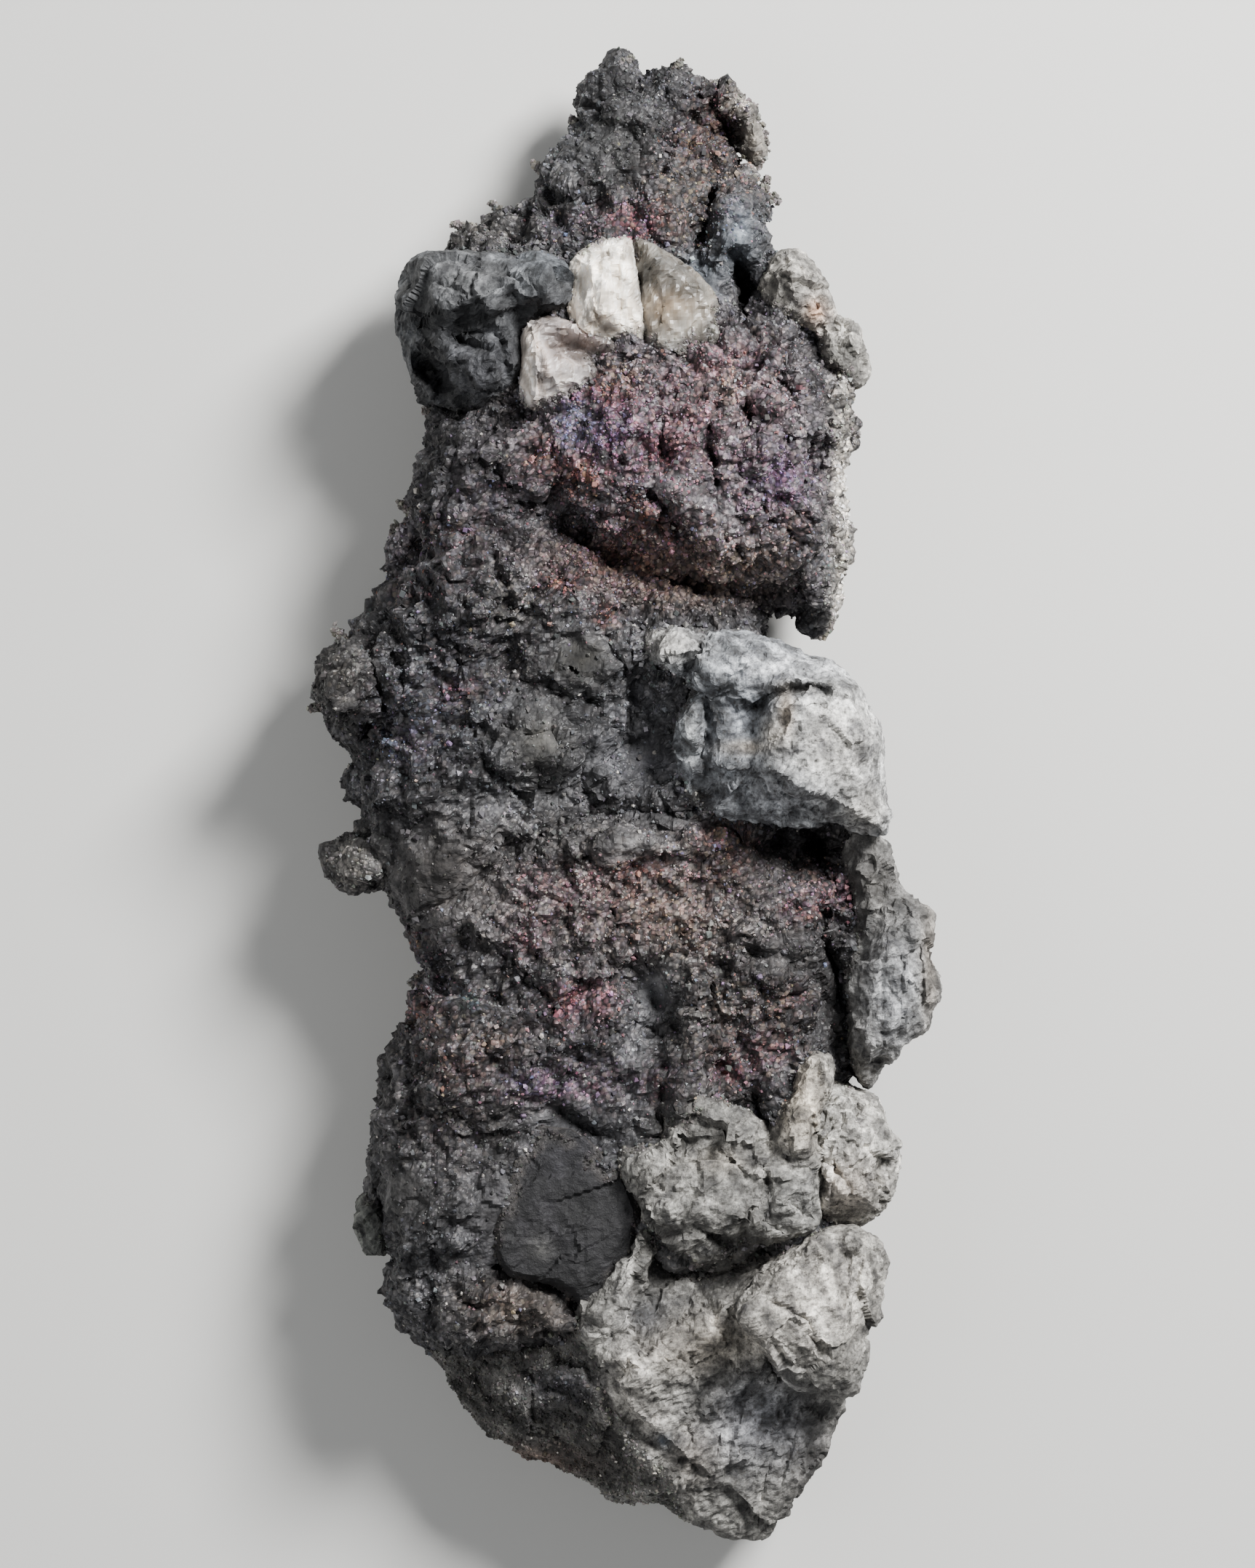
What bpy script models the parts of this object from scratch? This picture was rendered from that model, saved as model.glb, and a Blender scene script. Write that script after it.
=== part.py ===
"""A native silver specimen with calcite and host rock, laid down on its back.

World metres, +Z up, +Y towards the ragged top crest of the specimen, +X to its right. The origin is
on the surface it rests on, under the middle of its outline. All measures below are millimetres.
"""

import math

import bmesh
import bpy
import numpy as np
from mathutils import Vector, noise
from mathutils.geometry import delaunay_2d_cdt

MM = 0.001

# Driving dimensions
GRID = 2.6
SKIRT = 1.2
FRONT_RIM = 10.0
BACK_RIM = 22.0
LEAST_THICKNESS = 3.0
BED_EDGE = 0.8
BED_RISE = 2.5
SUNK_FLOOR = 20.0

# Gaps between pieces, and how plain the cutters are that make them
ROCK_GAP = 0.4
SEAT_GAP = 0.9
SEAT_FACES = 0.45
LEAST_SEAT_FACES = 110

# Fineness of the grown surfaces before they are thinned out, and the silver's roughness:
# (amount, lump size, seed)
SILVER_VOXEL = 1.3
ROCK_VOXEL = 1.0
SILVER_FACES = 3400
SILVER_ROUGH = ((1.3, 7.0, 1), (0.7, 3.6, 2))
FIRST_ROCK_SEED = 3

# How sharply soft forms and creases rise, and the staggered grid that a surface starts from
FORM_POWER = 1.5
FOLD_POWER = 1.3
GRID_ROW = 0.87
GRID_MARGIN = 0.45

# The roughness: shares of lumps and of waves, how fast a lump falls off, waves against lumps in size,
# and the height over which it fades where a piece is buried
LUMP_SHARE = 0.55
WAVE_SHARE = 0.6
LUMP_FALL = 1.6
WAVE_SCALE = 0.7
BURIED_FADE = 3.0

# A block's rim starts partly raised, and forms lift only what faces up
RIM_START = 0.3
UP_GAIN = 1.6

# Height of the silver's front and back along the length: (y, back, middle of the edge, front)
SILVER_PROFILE = (
    (-110, 10, 15, 24),
    (-92, 6, 16, 33),
    (-70, 3.5, 17, 35.5),
    (-40, 2.6, 17, 36),
    (-20, 2.4, 17, 35.5),
    (30, 2.6, 18, 36.5),
    (62, 4, 18, 37.5),
    (84, 7, 18, 34),
    (98, 10, 17, 29),
    (126, 11, 15, 21),
)

SILVER_OUTLINE = (
    (-1.5, 125.6), (0.8, 125.2), (3.5, 120.9), (6.5, 122.3), (8.5, 125), (10.2, 124.8),
    (12.2, 121.3), (16.5, 120.3), (20, 120), (21.6, 117.5), (23.3, 112), (23.4, 109), (22, 107.3),
    (20.6, 108.2), (20.5, 112.5), (19.4, 114.6), (17.6, 111.5), (18.5, 106.8), (21.3, 104.2),
    (23.3, 103), (24.6, 104.6), (25.8, 101.6), (22.3, 96.8), (24.6, 93.5), (25.4, 90),
    (28, 85), (32, 80), (35, 76), (37.3, 70), (38.4, 62), (36.2, 57.5), (35.5, 52), (37, 45.5),
    (36, 38.5), (34.9, 30.7), (33.3, 28.7), (31, 29.4), (27.6, 33.6), (24, 32.6), (21.6, 30.2),
    (25, 26), (33, 19), (37, 13), (38.5, 4), (38.5, -4), (38.5, -8), (42, -13), (44.5, -22),
    (46.5, -32), (42.5, -41), (38, -48), (39, -54), (40.5, -61), (37.5, -68), (36, -74),
    (37, -80), (34, -87), (26, -92), (14, -94), (0, -96),
    (-18, -98), (-29, -96.5), (-33, -92), (-38, -87.5), (-39, -83), (-39.3, -76), (-41.2, -72),
    (-41.8, -66), (-41.2, -60), (-40.2, -54), (-39, -48), (-37, -43), (-35, -37.5), (-35.8, -34),
    (-32.6, -29.5), (-35.6, -24.5), (-38, -18.7), (-40.2, -13), (-44.8, -15.2), (-49.4, -11.5),
    (-48, -8), (-43.8, -6.2), (-42.3, -2), (-46.2, 3.3), (-43, 5.8), (-42.2, 12.6), (-45.6, 9.8),
    (-49.3, 14.2), (-52.4, 20.4), (-50.6, 25.2), (-46.5, 26.3), (-42, 31), (-38.5, 37), (-34, 41.2),
    (-35.8, 42.6), (-38.3, 39.8), (-39.3, 44), (-35.6, 49.5), (-34.2, 56), (-31.8, 60),
    (-31.6, 67.5), (-33, 75), (-33.5, 85), (-30, 90.5), (-30.6, 94), (-28, 96.3), (-23.4, 97),
    (-22.8, 99.9), (-17, 99.8), (-13, 104.6), (-14.4, 107.4), (-9, 111.6), (-5.4, 115.8),
    (-5.2, 120.6),
)

# Broad forms of the silver's front: (x, y, reach across, reach along, turn in degrees, rise)
SILVER_FORMS = (
    # the domed bulb on the right of the upper half, the swells on it and its pits
    (14, 57, 27, 24, 0, 8.0),
    (27, 58, 9, 17, 8, 2.5),
    (-3, 62, 10, 12, 0, 2.5),
    (8, 50, 8, 7, 0, 2.5),
    (20.5, 63, 4, 4, 0, -5.0),
    (14, 57.5, 3, 7, 0, -2.5),
    (31, 57, 3, 6, 0, -3.0),
    # top sheet: grey boss, the hollow under the hook's arch, its rim and the tongue beside it
    (0, 110, 9, 9, 0, 2.5),
    (-8, 104, 7, 8, -20, 2.0),
    (14, 114, 7, 8, 0, -9.0),
    (20.5, 116.5, 4, 5, 0, 4.0),
    (8, 102, 8, 5, 30, 2.5),
    (19.5, 96, 6, 9, 10, 5.0),
    (20, 85, 4.5, 7, 0, -17.0),
    (12.5, 87.5, 6, 6, 0, -3.0),
    (-18, 95, 10, 4, 0, -2.0),
    # left lobe, left flank and the smooth bosses in the middle
    (-47, 20, 9, 9, 0, 3.0),
    (-40, 12, 4, 9, -30, -4.0),
    (-25, 36, 15, 14, 0, 3.5),
    (-15, 9, 9, 8, 0, 3.5),
    (-6, 23, 9, 6, 0, 2.5),
    (-31, 3, 12, 12, 0, 2.0),
    (-31, -13, 12, 9, 0, 2.5),
    (4, 9, 8, 11, 0, -7.0),
    (-40, -12, 3, 9, 0, -3.0),
    # the swells and hollows of the lower half
    (27, -9, 12, 6, 0, -9.0),
    (5, -34, 6, 9, 0, -5.0),
    (22, -28, 9, 11, 0, 3.0),
    (-10, -23, 14, 12, 0, 3.5),
    (-22, -44, 14, 12, 0, 2.5),
    (21, -50, 5, 5, 0, -4.0),
    (-27, -70, 12, 10, 0, 2.0),
    (-20, -86, 15, 6, 0, 3.0),
)

# Creases and ridges of the silver's front: (half width, rise, points of its line)
SILVER_FOLDS = (
    # the long hollow under the bulb
    (7.0, -7.0, ((-13, 48), (-6, 42), (4, 38.5), (13, 35), (22, 34), (28, 35))),
    # the bright thin edge of the sheet right of the bulb
    (3.5, 3.0, ((36, 70), (36.4, 60), (34.5, 52), (35.5, 44), (34, 33))),
    # the crack beside the tongue and the one between bulb and crystals
    (3.2, -9.0, ((14.5, 101), (13, 96), (11, 92), (8, 89))),
    (3.0, -4.0, ((-9, 64), (-3, 70), (4, 72.5), (11, 74), (16, 79), (19, 81))),
    # the crack under the left shoulder rock
    (4.0, -6.0, ((-34, 67), (-27, 64), (-21, 62.5), (-15, 65))),
    # the curved grooves on the bulb
    (2.4, -3.0, ((4, 52), (5.5, 47.5), (10, 43.5))),
    # the valley from the left edge to the shelf under the middle rock
    (5.0, -5.0, ((-33, -20), (-23, -12), (-14, -5), (-2, -1.5), (10, -4), (24, -6), (36, -7))),
    # the shelf itself
    (4.0, 3.5, ((-5, -7.5), (4, -7), (12, -8))),
    # steps in the dark rock left of the middle rock
    (3.5, -4.0, ((-17, 1), (-9, 2), (-3, 6), (2, 16), (2, 23))),
    (3.0, -3.0, ((-22, 24), (-12, 17), (-4, 16), (3, 19))),
    # the left notch and the step that runs in from it
    (3.5, -3.5, ((-36, 44), (-28, 45), (-18, 49), (-12, 47))),
    # the pale upright ridge and the deep groove beside the right edge rock
    (3.5, 4.0, ((12, -29), (12, -38), (10, -46), (9, -53))),
    (5.5, -10.0, ((34, -6), (35, -16), (34, -26), (35, -36), (37.5, -47))),
    # the crack at the foot of the dark slab
    (3.0, -5.0, ((-21, -77), (-13, -80), (-6, -84.5))),
    (3.5, -3.5, ((-34, -52), (-24, -57), (-15, -55), (-6, -56), (3, -57))),
)

# Broad forms of the silver's back, seen through the front: as above, but a rise goes down
BACK_FORMS = (
    (0, -10, 25, 46, 0, 4.6),
    (-24, 48, 15, 20, 20, -5.0),
    (24, 46, 12, 20, -10, -4.0),
    (4, 84, 14, 10, 0, -3.5),
    (4, 64, 16, 8, 20, 2.5),
    (-32, -12, 10, 20, 0, -5.0),
    (30, -34, 11, 24, 0, -5.0),
    (-24, -62, 13, 14, 0, -3.5),
    (6, -74, 16, 9, 0, 2.0),
    (-8, 104, 9, 9, 0, 2.5),
)

# Each rock is one or more blocks grown together. A block has its outline and the planes that
# bound it above; a plane is (x, y, height there, climb along x, climb along y). Below come the
# planes under the whole rock, its broad forms, its roughness (amount, lump size), the width of its
# rounded rim, its share of faces and its finish.
ROCKS = {
    "left_shoulder_rock": {
        "blocks": (
            (
                (
                    (-28.5, 90.8), (-32.5, 91.5), (-35.2, 90.3), (-36.8, 87), (-38.3, 81.5),
                    (-37, 77), (-26, 75), (-17.4, 78), (-14.2, 80.6), (-9.6, 81.6), (-8.8, 86),
                    (-9.4, 89.8), (-14, 91.4), (-21, 91.8),
                ),
                (
                    (-22, 84, 39, 0.02, -0.05), (-33, 84, 35.5, 1.0, 0.0),
                    (-22, 89, 37, 0.0, -1.0), (-22, 79, 38, 0.0, 0.25),
                ),
            ),
            (
                (
                    (-38, 81), (-38.2, 78), (-36.8, 75), (-35, 71.8), (-33.6, 68.3), (-28, 66.3),
                    (-23.5, 64.4), (-20, 65.2), (-17.6, 68), (-17.2, 73), (-17.4, 80), (-26, 84),
                ),
                (
                    (-25, 74, 37, 0.15, 0.05), (-25, 68, 35, 0.0, 0.9),
                    (-34, 74, 32, 0.9, 0.0), (-20, 72, 37.5, -0.4, 0.0),
                ),
            ),
        ),
        "below": ((-24, 79, 9, 0.25, 0.0), (-34, 80, 12, -0.9, 0.0)),
        "forms": (
            (-31.5, 71.5, 3.5, 5, 35, -6.0), (-26, 77, 9, 3.5, -20, -3.0), (-24, 85, 7, 4, 0, 1.5),
            (-21, 70, 5, 5, 0, 1.5), (-18, 80, 3, 5, 0, -2.0),
        ),
        "rough": (1.5, 8.0),
        "rim": 6.0,
        "faces": 480,
        "stone": "blue_grey_rock",
    },
    "calcite_upper": {
        "blocks": (
            (
                (
                    (-7, 90), (-4, 92), (0, 92.8), (0.8, 90), (1.2, 85), (1.6, 82), (3, 80),
                    (3.1, 77.6), (1, 76.1), (-2, 76.6), (-5, 78), (-7.6, 79.6), (-8.6, 81),
                    (-7.8, 85), (-8.3, 88),
                ),
                (
                    (-3, 84, 41, 0.1, 0.04), (-7, 85, 39, 0.9, 0.1), (-3, 91, 38.5, 0.0, -0.9),
                    (-2, 78, 39.5, 0.0, 0.7), (1, 82, 40, -1.6, 0.0),
                ),
            ),
        ),
        "below": ((0, 84, 26, 0.0, 0.0),),
        "forms": ((-3.5, 80.5, 3, 2.2, 20, -1.2), (-2.5, 87, 1.6, 5, 6, -0.8)),
        "rough": (0.5, 5.0),
        "rim": 1.5,
        "faces": 150,
        "stone": "white_calcite",
    },
    "calcite_lower": {
        "blocks": (
            (
                (
                    (-16.4, 77.6), (-14.4, 79.6), (-12, 79.9), (-8.6, 78.7), (-5, 77.2),
                    (-2, 75.8), (-0.6, 74.8), (-1.6, 73.2), (-4, 72), (-7, 68.6), (-9, 65.2),
                    (-12, 63.4), (-14, 65.4), (-16.8, 66.4), (-16.4, 72),
                ),
                (
                    (-10, 72, 38.5, 0.0, 0.0), (-15.5, 72, 40, -0.2, 0.0), (-4, 73, 38, -0.5, 0.3),
                    (-11, 66, 37, 0.0, 0.7),
                ),
            ),
        ),
        "below": ((-9, 72, 25, 0.0, 0.0),),
        "forms": (
            (-8, 74.2, 5, 3, -12, -3.2), (-15.3, 72, 1.8, 7, 0, 1.8), (-10.5, 67.5, 3, 3, 0, 1.0),
        ),
        "rough": (0.45, 4.0),
        "rim": 1.5,
        "faces": 200,
        "stone": "white_calcite",
    },
    "calcite_cleaved": {
        "blocks": (
            (
                (
                    (1.2, 92.4), (4.5, 90.5), (8, 88.4), (11, 86), (13.8, 83), (15.2, 80),
                    (13.8, 77.2), (11, 76), (8.6, 74.6), (5.2, 73.8), (4, 75.5), (3.9, 79),
                    (2.8, 81.6), (3.6, 86),
                ),
                (
                    (9, 80, 38.5, -0.08, 0.1), (4.5, 84, 37.4, 0.7, 0.1), (9, 87, 37.8, -0.5, -0.9),
                    (8, 76, 37.5, 0.0, 0.9),
                ),
            ),
        ),
        "below": ((8, 82, 25, 0.0, 0.0),),
        "forms": ((2.8, 86, 1.8, 5, 10, -2.5),),
        "rough": (0.3, 6.0),
        "rim": 1.2,
        "faces": 120,
        "stone": "tan_calcite",
    },
    "right_shoulder_rock": {
        "blocks": (
            (
                (
                    (23.6, 87), (25.6, 91.3), (28.5, 91.9), (30.5, 89.8), (33, 86.8), (34.2, 84),
                    (34.7, 81), (33, 79.2), (29, 79.8), (25.6, 81.6), (23.4, 84.2),
                ),
                (
                    (29, 85, 36, 0.0, 0.1), (33, 84, 34, -0.9, -0.2), (29, 90, 34, 0.1, -1.0),
                    (25, 86, 34.5, 0.7, 0.0),
                ),
            ),
            (
                (
                    (33, 81), (36, 80), (38.5, 79.5), (39.7, 75.5), (40.4, 72.5), (39.8, 70.3),
                    (38.3, 69.8), (36, 71), (33.6, 73), (32.6, 76.5), (32, 79),
                ),
                (
                    (36.5, 75, 33.5, -0.2, 0.1), (34, 76, 32.5, 0.8, 0.0), (37, 71.5, 32, 0.0, 0.9),
                ),
            ),
        ),
        "below": ((30, 82, 13, 0.0, 0.0), (37, 75, 15, 0.5, 0.0)),
        "forms": ((28, 87, 3, 3, 0, 1.0), (36.5, 75.5, 3, 3.5, 0, 1.0)),
        "rough": (1.0, 4.5),
        "rim": 4.0,
        "faces": 330,
        "stone": "pale_rock",
    },
    "middle_rock": {
        "blocks": (
            # the bright broken face and the darker facet under its edge
            (
                (
                    (22, 14), (23, 20), (27, 24.4), (30.4, 22.6), (33.5, 22.8), (36, 20.5),
                    (38.3, 18), (39.5, 15), (41.6, 11.5), (42.4, 6), (42.9, 0), (43.9, -3.5),
                    (42, -5.4), (38, -4.4), (36, -2.6), (30, -4), (22, -3.3), (20, 4),
                ),
                (
                    (33, 9, 48.5, -0.06, 0.05), (40, 6, 45.5, -1.0, 0.0), (31, 20, 46, -0.1, -0.8),
                    (30, 0.5, 47, 0.25, 1.7), (24.5, 11, 45.5, 1.0, -0.1), (41.5, -3, 41, -0.5, 0.3),
                ),
            ),
            # the pale band along its upper edge
            (
                (
                    (12, 28.5), (14, 27.6), (20, 27.6), (25, 25.2), (29, 23.6), (28, 16),
                    (20, 15), (12.5, 18.5), (10, 20.5),
                ),
                (
                    (20, 22, 44, 0.1, 0.0), (20, 25.8, 43, 0.0, -1.1), (20, 18, 43, 0.0, 0.8),
                    (13, 23, 42, 0.5, 0.0),
                ),
            ),
            # the bright lump at its upper left corner
            (
                (
                    (3.6, 28.4), (8, 29), (12.5, 28.4), (14, 24), (11, 19.4), (6, 21.3), (3.8, 25),
                ),
                (
                    (8, 25, 42.5, 0.15, -0.1), (8, 27.6, 41.5, 0.0, -1.0), (5, 24, 41, 0.9, 0.0),
                    (8, 22, 41.5, 0.0, 0.8),
                ),
            ),
            # the curved ridge on its left
            (
                (
                    (8, 11), (9, 14.5), (11.4, 17), (13, 19), (15, 15), (14, 8), (15, -2),
                    (11.3, 0), (9.6, 4), (10, 7),
                ),
                ((11, 10, 42, 0.0, 0.05), (9.4, 10, 40.5, 1.4, 0.0), (13, 10, 41, -1.0, 0.0)),
            ),
            # the dark hollow between them
            (
                ((11, 19), (25, 22), (26, -3.6), (20, -3), (14, -2), (12, 6)),
                (
                    (18, 12, 41, 0.0, 0.12), (20, 2, 42, 0.35, 0.5), (23, 12, 40.5, -0.6, 0.0),
                ),
            ),
        ),
        "below": ((24, 12, 12, 0.0, 0.0), (38, 8, 16, 0.7, 0.0), (30, -2, 22, 0.0, -1.2)),
        "forms": (
            (26, 14.5, 2.4, 6, -8, 1.6), (29, 17.6, 7, 1.8, 15, -2.2), (17, 6, 4, 3, 30, 2.0),
            (13.8, 12, 1.8, 9, -6, -2.5),
        ),
        "rough": (0.8, 6.0),
        "rim": 3.5,
        "faces": 720,
        "stone": "pale_rock",
    },
    "right_edge_rock": {
        "blocks": (
            (
                (
                    (39, -17), (44, -15), (47.6, -17.8), (50.7, -19), (51.2, -20.7), (49.9, -24.5),
                    (51.7, -30), (52.4, -33.5), (50.4, -35.6), (50.8, -37.6), (48, -39.5),
                    (45.3, -41.5), (42.5, -46), (40.9, -48.6), (39, -46), (38.2, -40),
                    (37.4, -32), (38.4, -22),
                ),
                (
                    (45, -30, 38, 0.08, 0.0), (40, -30, 35.5, 0.5, 0.0), (49.5, -30, 37, -1.2, 0.0),
                    (43, -43, 35.5, 0.0, 0.8), (46, -20, 37, 0.0, -0.5),
                ),
            ),
            (
                (
                    (39.6, -6.2), (42, -6.6), (44.3, -9.5), (45.2, -14.5), (47.6, -17.8),
                    (46, -22), (40, -22), (37, -14), (37.6, -8.4),
                ),
                ((41, -14, 34.5, -0.15, 0.15), (38.6, -13, 33, 1.3, 0.0), (44, -12, 33.5, -1.0, 0.0)),
            ),
        ),
        "below": ((43, -28, 13, 0.0, 0.0), (49, -28, 16, 0.9, 0.0)),
        "forms": ((43.6, -20.5, 2.4, 4, -20, -3.0), (48.5, -24, 2, 7, 0, 1.2)),
        "rough": (0.9, 5.0),
        "rim": 4.5,
        "faces": 400,
        "stone": "pale_rock",
    },
    "lower_right_rock": {
        "blocks": (
            (
                (
                    (35.4, -48.6), (39, -50), (41.6, -50.8), (42.6, -53.5), (42.3, -54.8),
                    (44.5, -57.5), (45.6, -61), (45.1, -63.5), (43, -67.7), (40, -70), (38, -71),
                    (34.6, -70.2), (32.8, -68.2), (32.6, -65), (32.2, -61), (32.6, -55),
                    (33.2, -50.6),
                ),
                (
                    (37, -60, 39, 0.0, 0.0), (42, -61, 37, -0.9, 0.0), (37, -67, 37.5, 0.0, 0.8),
                    (37, -52, 37.5, -0.1, -0.4), (34, -60, 38.5, 0.6, 0.0),
                ),
            ),
        ),
        "below": ((37, -60, 13, 0.0, 0.0), (43, -60, 16, 0.9, 0.0)),
        "forms": ((39, -52.5, 1.6, 3.5, 20, -3.0), (37, -65.5, 4, 3, 0, 1.0)),
        "rough": (0.9, 5.0),
        "rim": 4.0,
        "faces": 290,
        "stone": "pale_rock",
    },
    "band_rock": {
        "blocks": (
            (
                (
                    (-1, -61.8), (0.4, -58.6), (5, -58.6), (9, -57), (24, -57), (31.2, -58),
                    (31.7, -65), (31.6, -69), (29, -71.4), (24, -72.8), (18.5, -73.8),
                    (15, -76.6), (11, -78), (9.2, -75.4), (5.8, -71.2), (3.2, -70), (2.2, -65),
                ),
                (
                    (16, -64, 41, 0.0, 0.06), (4, -64, 39, 0.45, 0.0), (19, -70.5, 39.5, 0.0, 0.8),
                    (9, -73, 37.5, 0.3, 0.8), (28, -64, 40.5, -0.15, 0.0), (15, -59, 40, 0.0, -0.5),
                ),
            ),
            (
                (
                    (9, -47.6), (13, -49), (17, -51.6), (21, -52.4), (24.6, -56.2), (25, -60),
                    (8, -61), (7.2, -57), (7.8, -52),
                ),
                ((14, -55, 39.5, 0.05, -0.05), (9, -54, 38.5, 0.9, 0.0), (20, -55, 38.5, -0.3, 0.0)),
            ),
            (
                (
                    (24.6, -56.2), (25.8, -52), (28.2, -49.4), (28.6, -46.4), (31, -43.4),
                    (34, -44.6), (33.2, -48), (31.9, -51), (31.3, -56), (31, -61), (27, -60),
                ),
                ((29, -52, 42, 0.1, -0.04), (32.4, -50, 41.5, -1.2, 0.0)),
            ),
        ),
        "below": ((16, -62, 23, 0.0, 0.0),),
        "forms": (
            (15, -72, 5, 2, -30, -3.0), (20, -61, 5, 4, 0, -1.6), (27, -66, 3.5, 5, 0, 1.2),
            (23.5, -67, 1.6, 5, -20, -1.8), (4, -67, 3, 3, 0, 0.8),
        ),
        "rough": (1.0, 6.0),
        "rim": 2.5,
        "faces": 560,
        "stone": "pale_rock",
    },
    "dark_slab_rock": {
        "blocks": (
            (
                (
                    (-14, -56), (-9, -57), (-5, -59.6), (-1.8, -63), (1.2, -66), (2.2, -70.6),
                    (0, -75), (-3.8, -79.6), (-5.2, -83.4), (-7.4, -82.4), (-12, -79), (-18, -78),
                    (-21, -73), (-19.5, -67), (-17, -61),
                ),
                (
                    (-9, -70, 38, 0.02, 0.02), (-1, -68, 37, -0.4, 0.0), (-8, -80, 36.5, 0.0, 0.6),
                    (-18, -68, 37.2, 0.5, 0.0),
                ),
            ),
        ),
        "below": ((-9, -70, 26, 0.0, 0.0),),
        "forms": ((-13, -62, 4, 5, 0, -0.8), (-8, -74, 5, 3, 20, 0.8)),
        "rough": (0.6, 7.0),
        "rim": 1.5,
        "faces": 200,
        "stone": "dark_rock",
    },
    "base_rock": {
        "blocks": (
            # the pointed end: its left flank, its right face and the hollow under the band
            (
                (
                    (30.2, -73.4), (34, -78), (39, -88), (39.7, -92.6), (38.4, -97.4),
                    (36.4, -103), (34.4, -109), (31, -114.2), (27.8, -119.4), (24, -124.8),
                    (18.5, -124.4), (13.8, -121.9), (9.6, -121.3), (6.8, -118.3), (1.5, -118.9),
                    (-5.5, -116), (-11, -112.5), (-17.5, -108.7), (-22.6, -106.4),
                    (-27.6, -100.9), (-31.6, -94.4), (-33, -91.8), (-27, -90.8), (-20, -92.4),
                    (-13, -91.8), (-9, -87.6), (-6.6, -84.4), (-3.6, -83), (-2.2, -79.2),
                    (1.2, -75), (3.4, -71), (5.4, -72.6), (8.8, -77), (11, -79.3), (15.6, -77.8),
                    (19, -75), (24.4, -74.2),
                ),
                (
                    (10, -98, 35.5, -0.28, 0.36), (-2, -99, 35, 0.5, 0.15),
                    (12, -88, 36.5, 0.0, -0.75), (20, -118, 25.5, -0.2, 0.6),
                    (-15, -104, 26, 0.5, 0.6),
                ),
            ),
            # the heel with its bright flat face
            (
                (
                    (30.2, -73.4), (34, -71.9), (38.4, -72), (40, -72.8), (41.9, -73.8),
                    (43, -75.6), (43, -78.4), (42.1, -83), (41.8, -87), (39.9, -89.4),
                    (39.7, -92.6), (38.2, -98), (30, -99), (26.5, -96.5), (23, -91),
                    (18.2, -85.4), (24.5, -78.5),
                ),
                (
                    (29, -83, 41.5, -0.12, 0.04), (40, -82, 38, -1.1, 0.0), (34, -73.5, 40, 0.0, -0.7),
                    (30, -95, 38, 0.0, 0.7),
                ),
            ),
            # the bright pointed ridge
            (
                (
                    (3.4, -71), (5, -74), (1.5, -84), (-3, -90), (-9, -89), (-6.6, -84.4),
                    (-3.6, -83), (-2.2, -79.2), (1.2, -75),
                ),
                ((0, -79, 40, 0.0, 0.0), (-2.6, -80, 38.5, 0.8, -0.4), (2.2, -79, 38.5, -1.0, 0.4)),
            ),
        ),
        "below": (
            (8, -86, 17, 0.0, 0.9), (6, -108, 4.5, 0.0, -0.25), (30, -100, 9, 0.9, 0.0),
            (-22, -98, 9, -0.8, 0.0),
        ),
        "forms": (
            (4.5, -86, 4, 5, -30, -2.5), (22, -104, 11, 3, -40, -1.6), (30, -104, 5, 9, 20, -1.5),
            (14, -106, 6, 5, 0, -1.5), (-1, -93, 4, 6, 0, 1.5), (-14, -95.5, 13, 2.6, 6, -3.0),
        ),
        "rough": (1.2, 7.0),
        "rim": 2.5,
        "faces": 990,
        "stone": "pale_rock",
    },
    "left_foot_rock": {
        "blocks": (
            (
                (
                    (-44.5, -72), (-44.8, -68.6), (-43.2, -66.9), (-41.2, -68.6), (-40.6, -72),
                    (-40.6, -76.4), (-43, -76.5),
                ),
                ((-42.5, -71, 26, 0.3, 0.0), (-42.5, -68, 25.6, 0.0, -0.5)),
            ),
        ),
        "below": ((-42.5, -71, 13, -0.3, 0.0),),
        "forms": (),
        "rough": (0.5, 4.0),
        "rim": 1.5,
        "faces": 70,
        "stone": "blue_grey_rock",
    },
}

# Base colour, metallic and roughness of each finish
FINISHES = {
    "native_silver": ((0.19, 0.18, 0.17, 1.0), 0.75, 0.5),
    "blue_grey_rock": ((0.13, 0.14, 0.155, 1.0), 0.0, 0.75),
    "dark_rock": ((0.09, 0.09, 0.095, 1.0), 0.0, 0.7),
    "pale_rock": ((0.42, 0.41, 0.39, 1.0), 0.0, 0.8),
    "white_calcite": ((0.8, 0.77, 0.72, 1.0), 0.0, 0.45),
    "tan_calcite": ((0.5, 0.46, 0.4, 1.0), 0.0, 0.5),
}


def clear_scene():
    for item in list(bpy.data.objects):
        bpy.data.objects.remove(item, do_unlink=True)


def finish(name):
    """The Principled material of one finish, made once."""
    material = bpy.data.materials.get(name)
    if material:
        return material
    colour, metallic, roughness = FINISHES[name]
    material = bpy.data.materials.new(name)
    material.use_nodes = True
    shader = material.node_tree.nodes["Principled BSDF"]
    shader.inputs["Base Color"].default_value = colour
    shader.inputs["Metallic"].default_value = metallic
    shader.inputs["Roughness"].default_value = roughness
    return material


def add_object(name, mesh):
    item = bpy.data.objects.new(name, mesh)
    bpy.context.scene.collection.objects.link(item)
    return item


def bake(item, kind, **settings):
    """Apply one modifier by taking the evaluated mesh."""
    modifier = item.modifiers.new(kind.title(), kind)
    for key, value in settings.items():
        setattr(modifier, key, value)
    graph = bpy.context.evaluated_depsgraph_get()
    mesh = bpy.data.meshes.new_from_object(item.evaluated_get(graph))
    item.modifiers.clear()
    item.data = mesh


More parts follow.
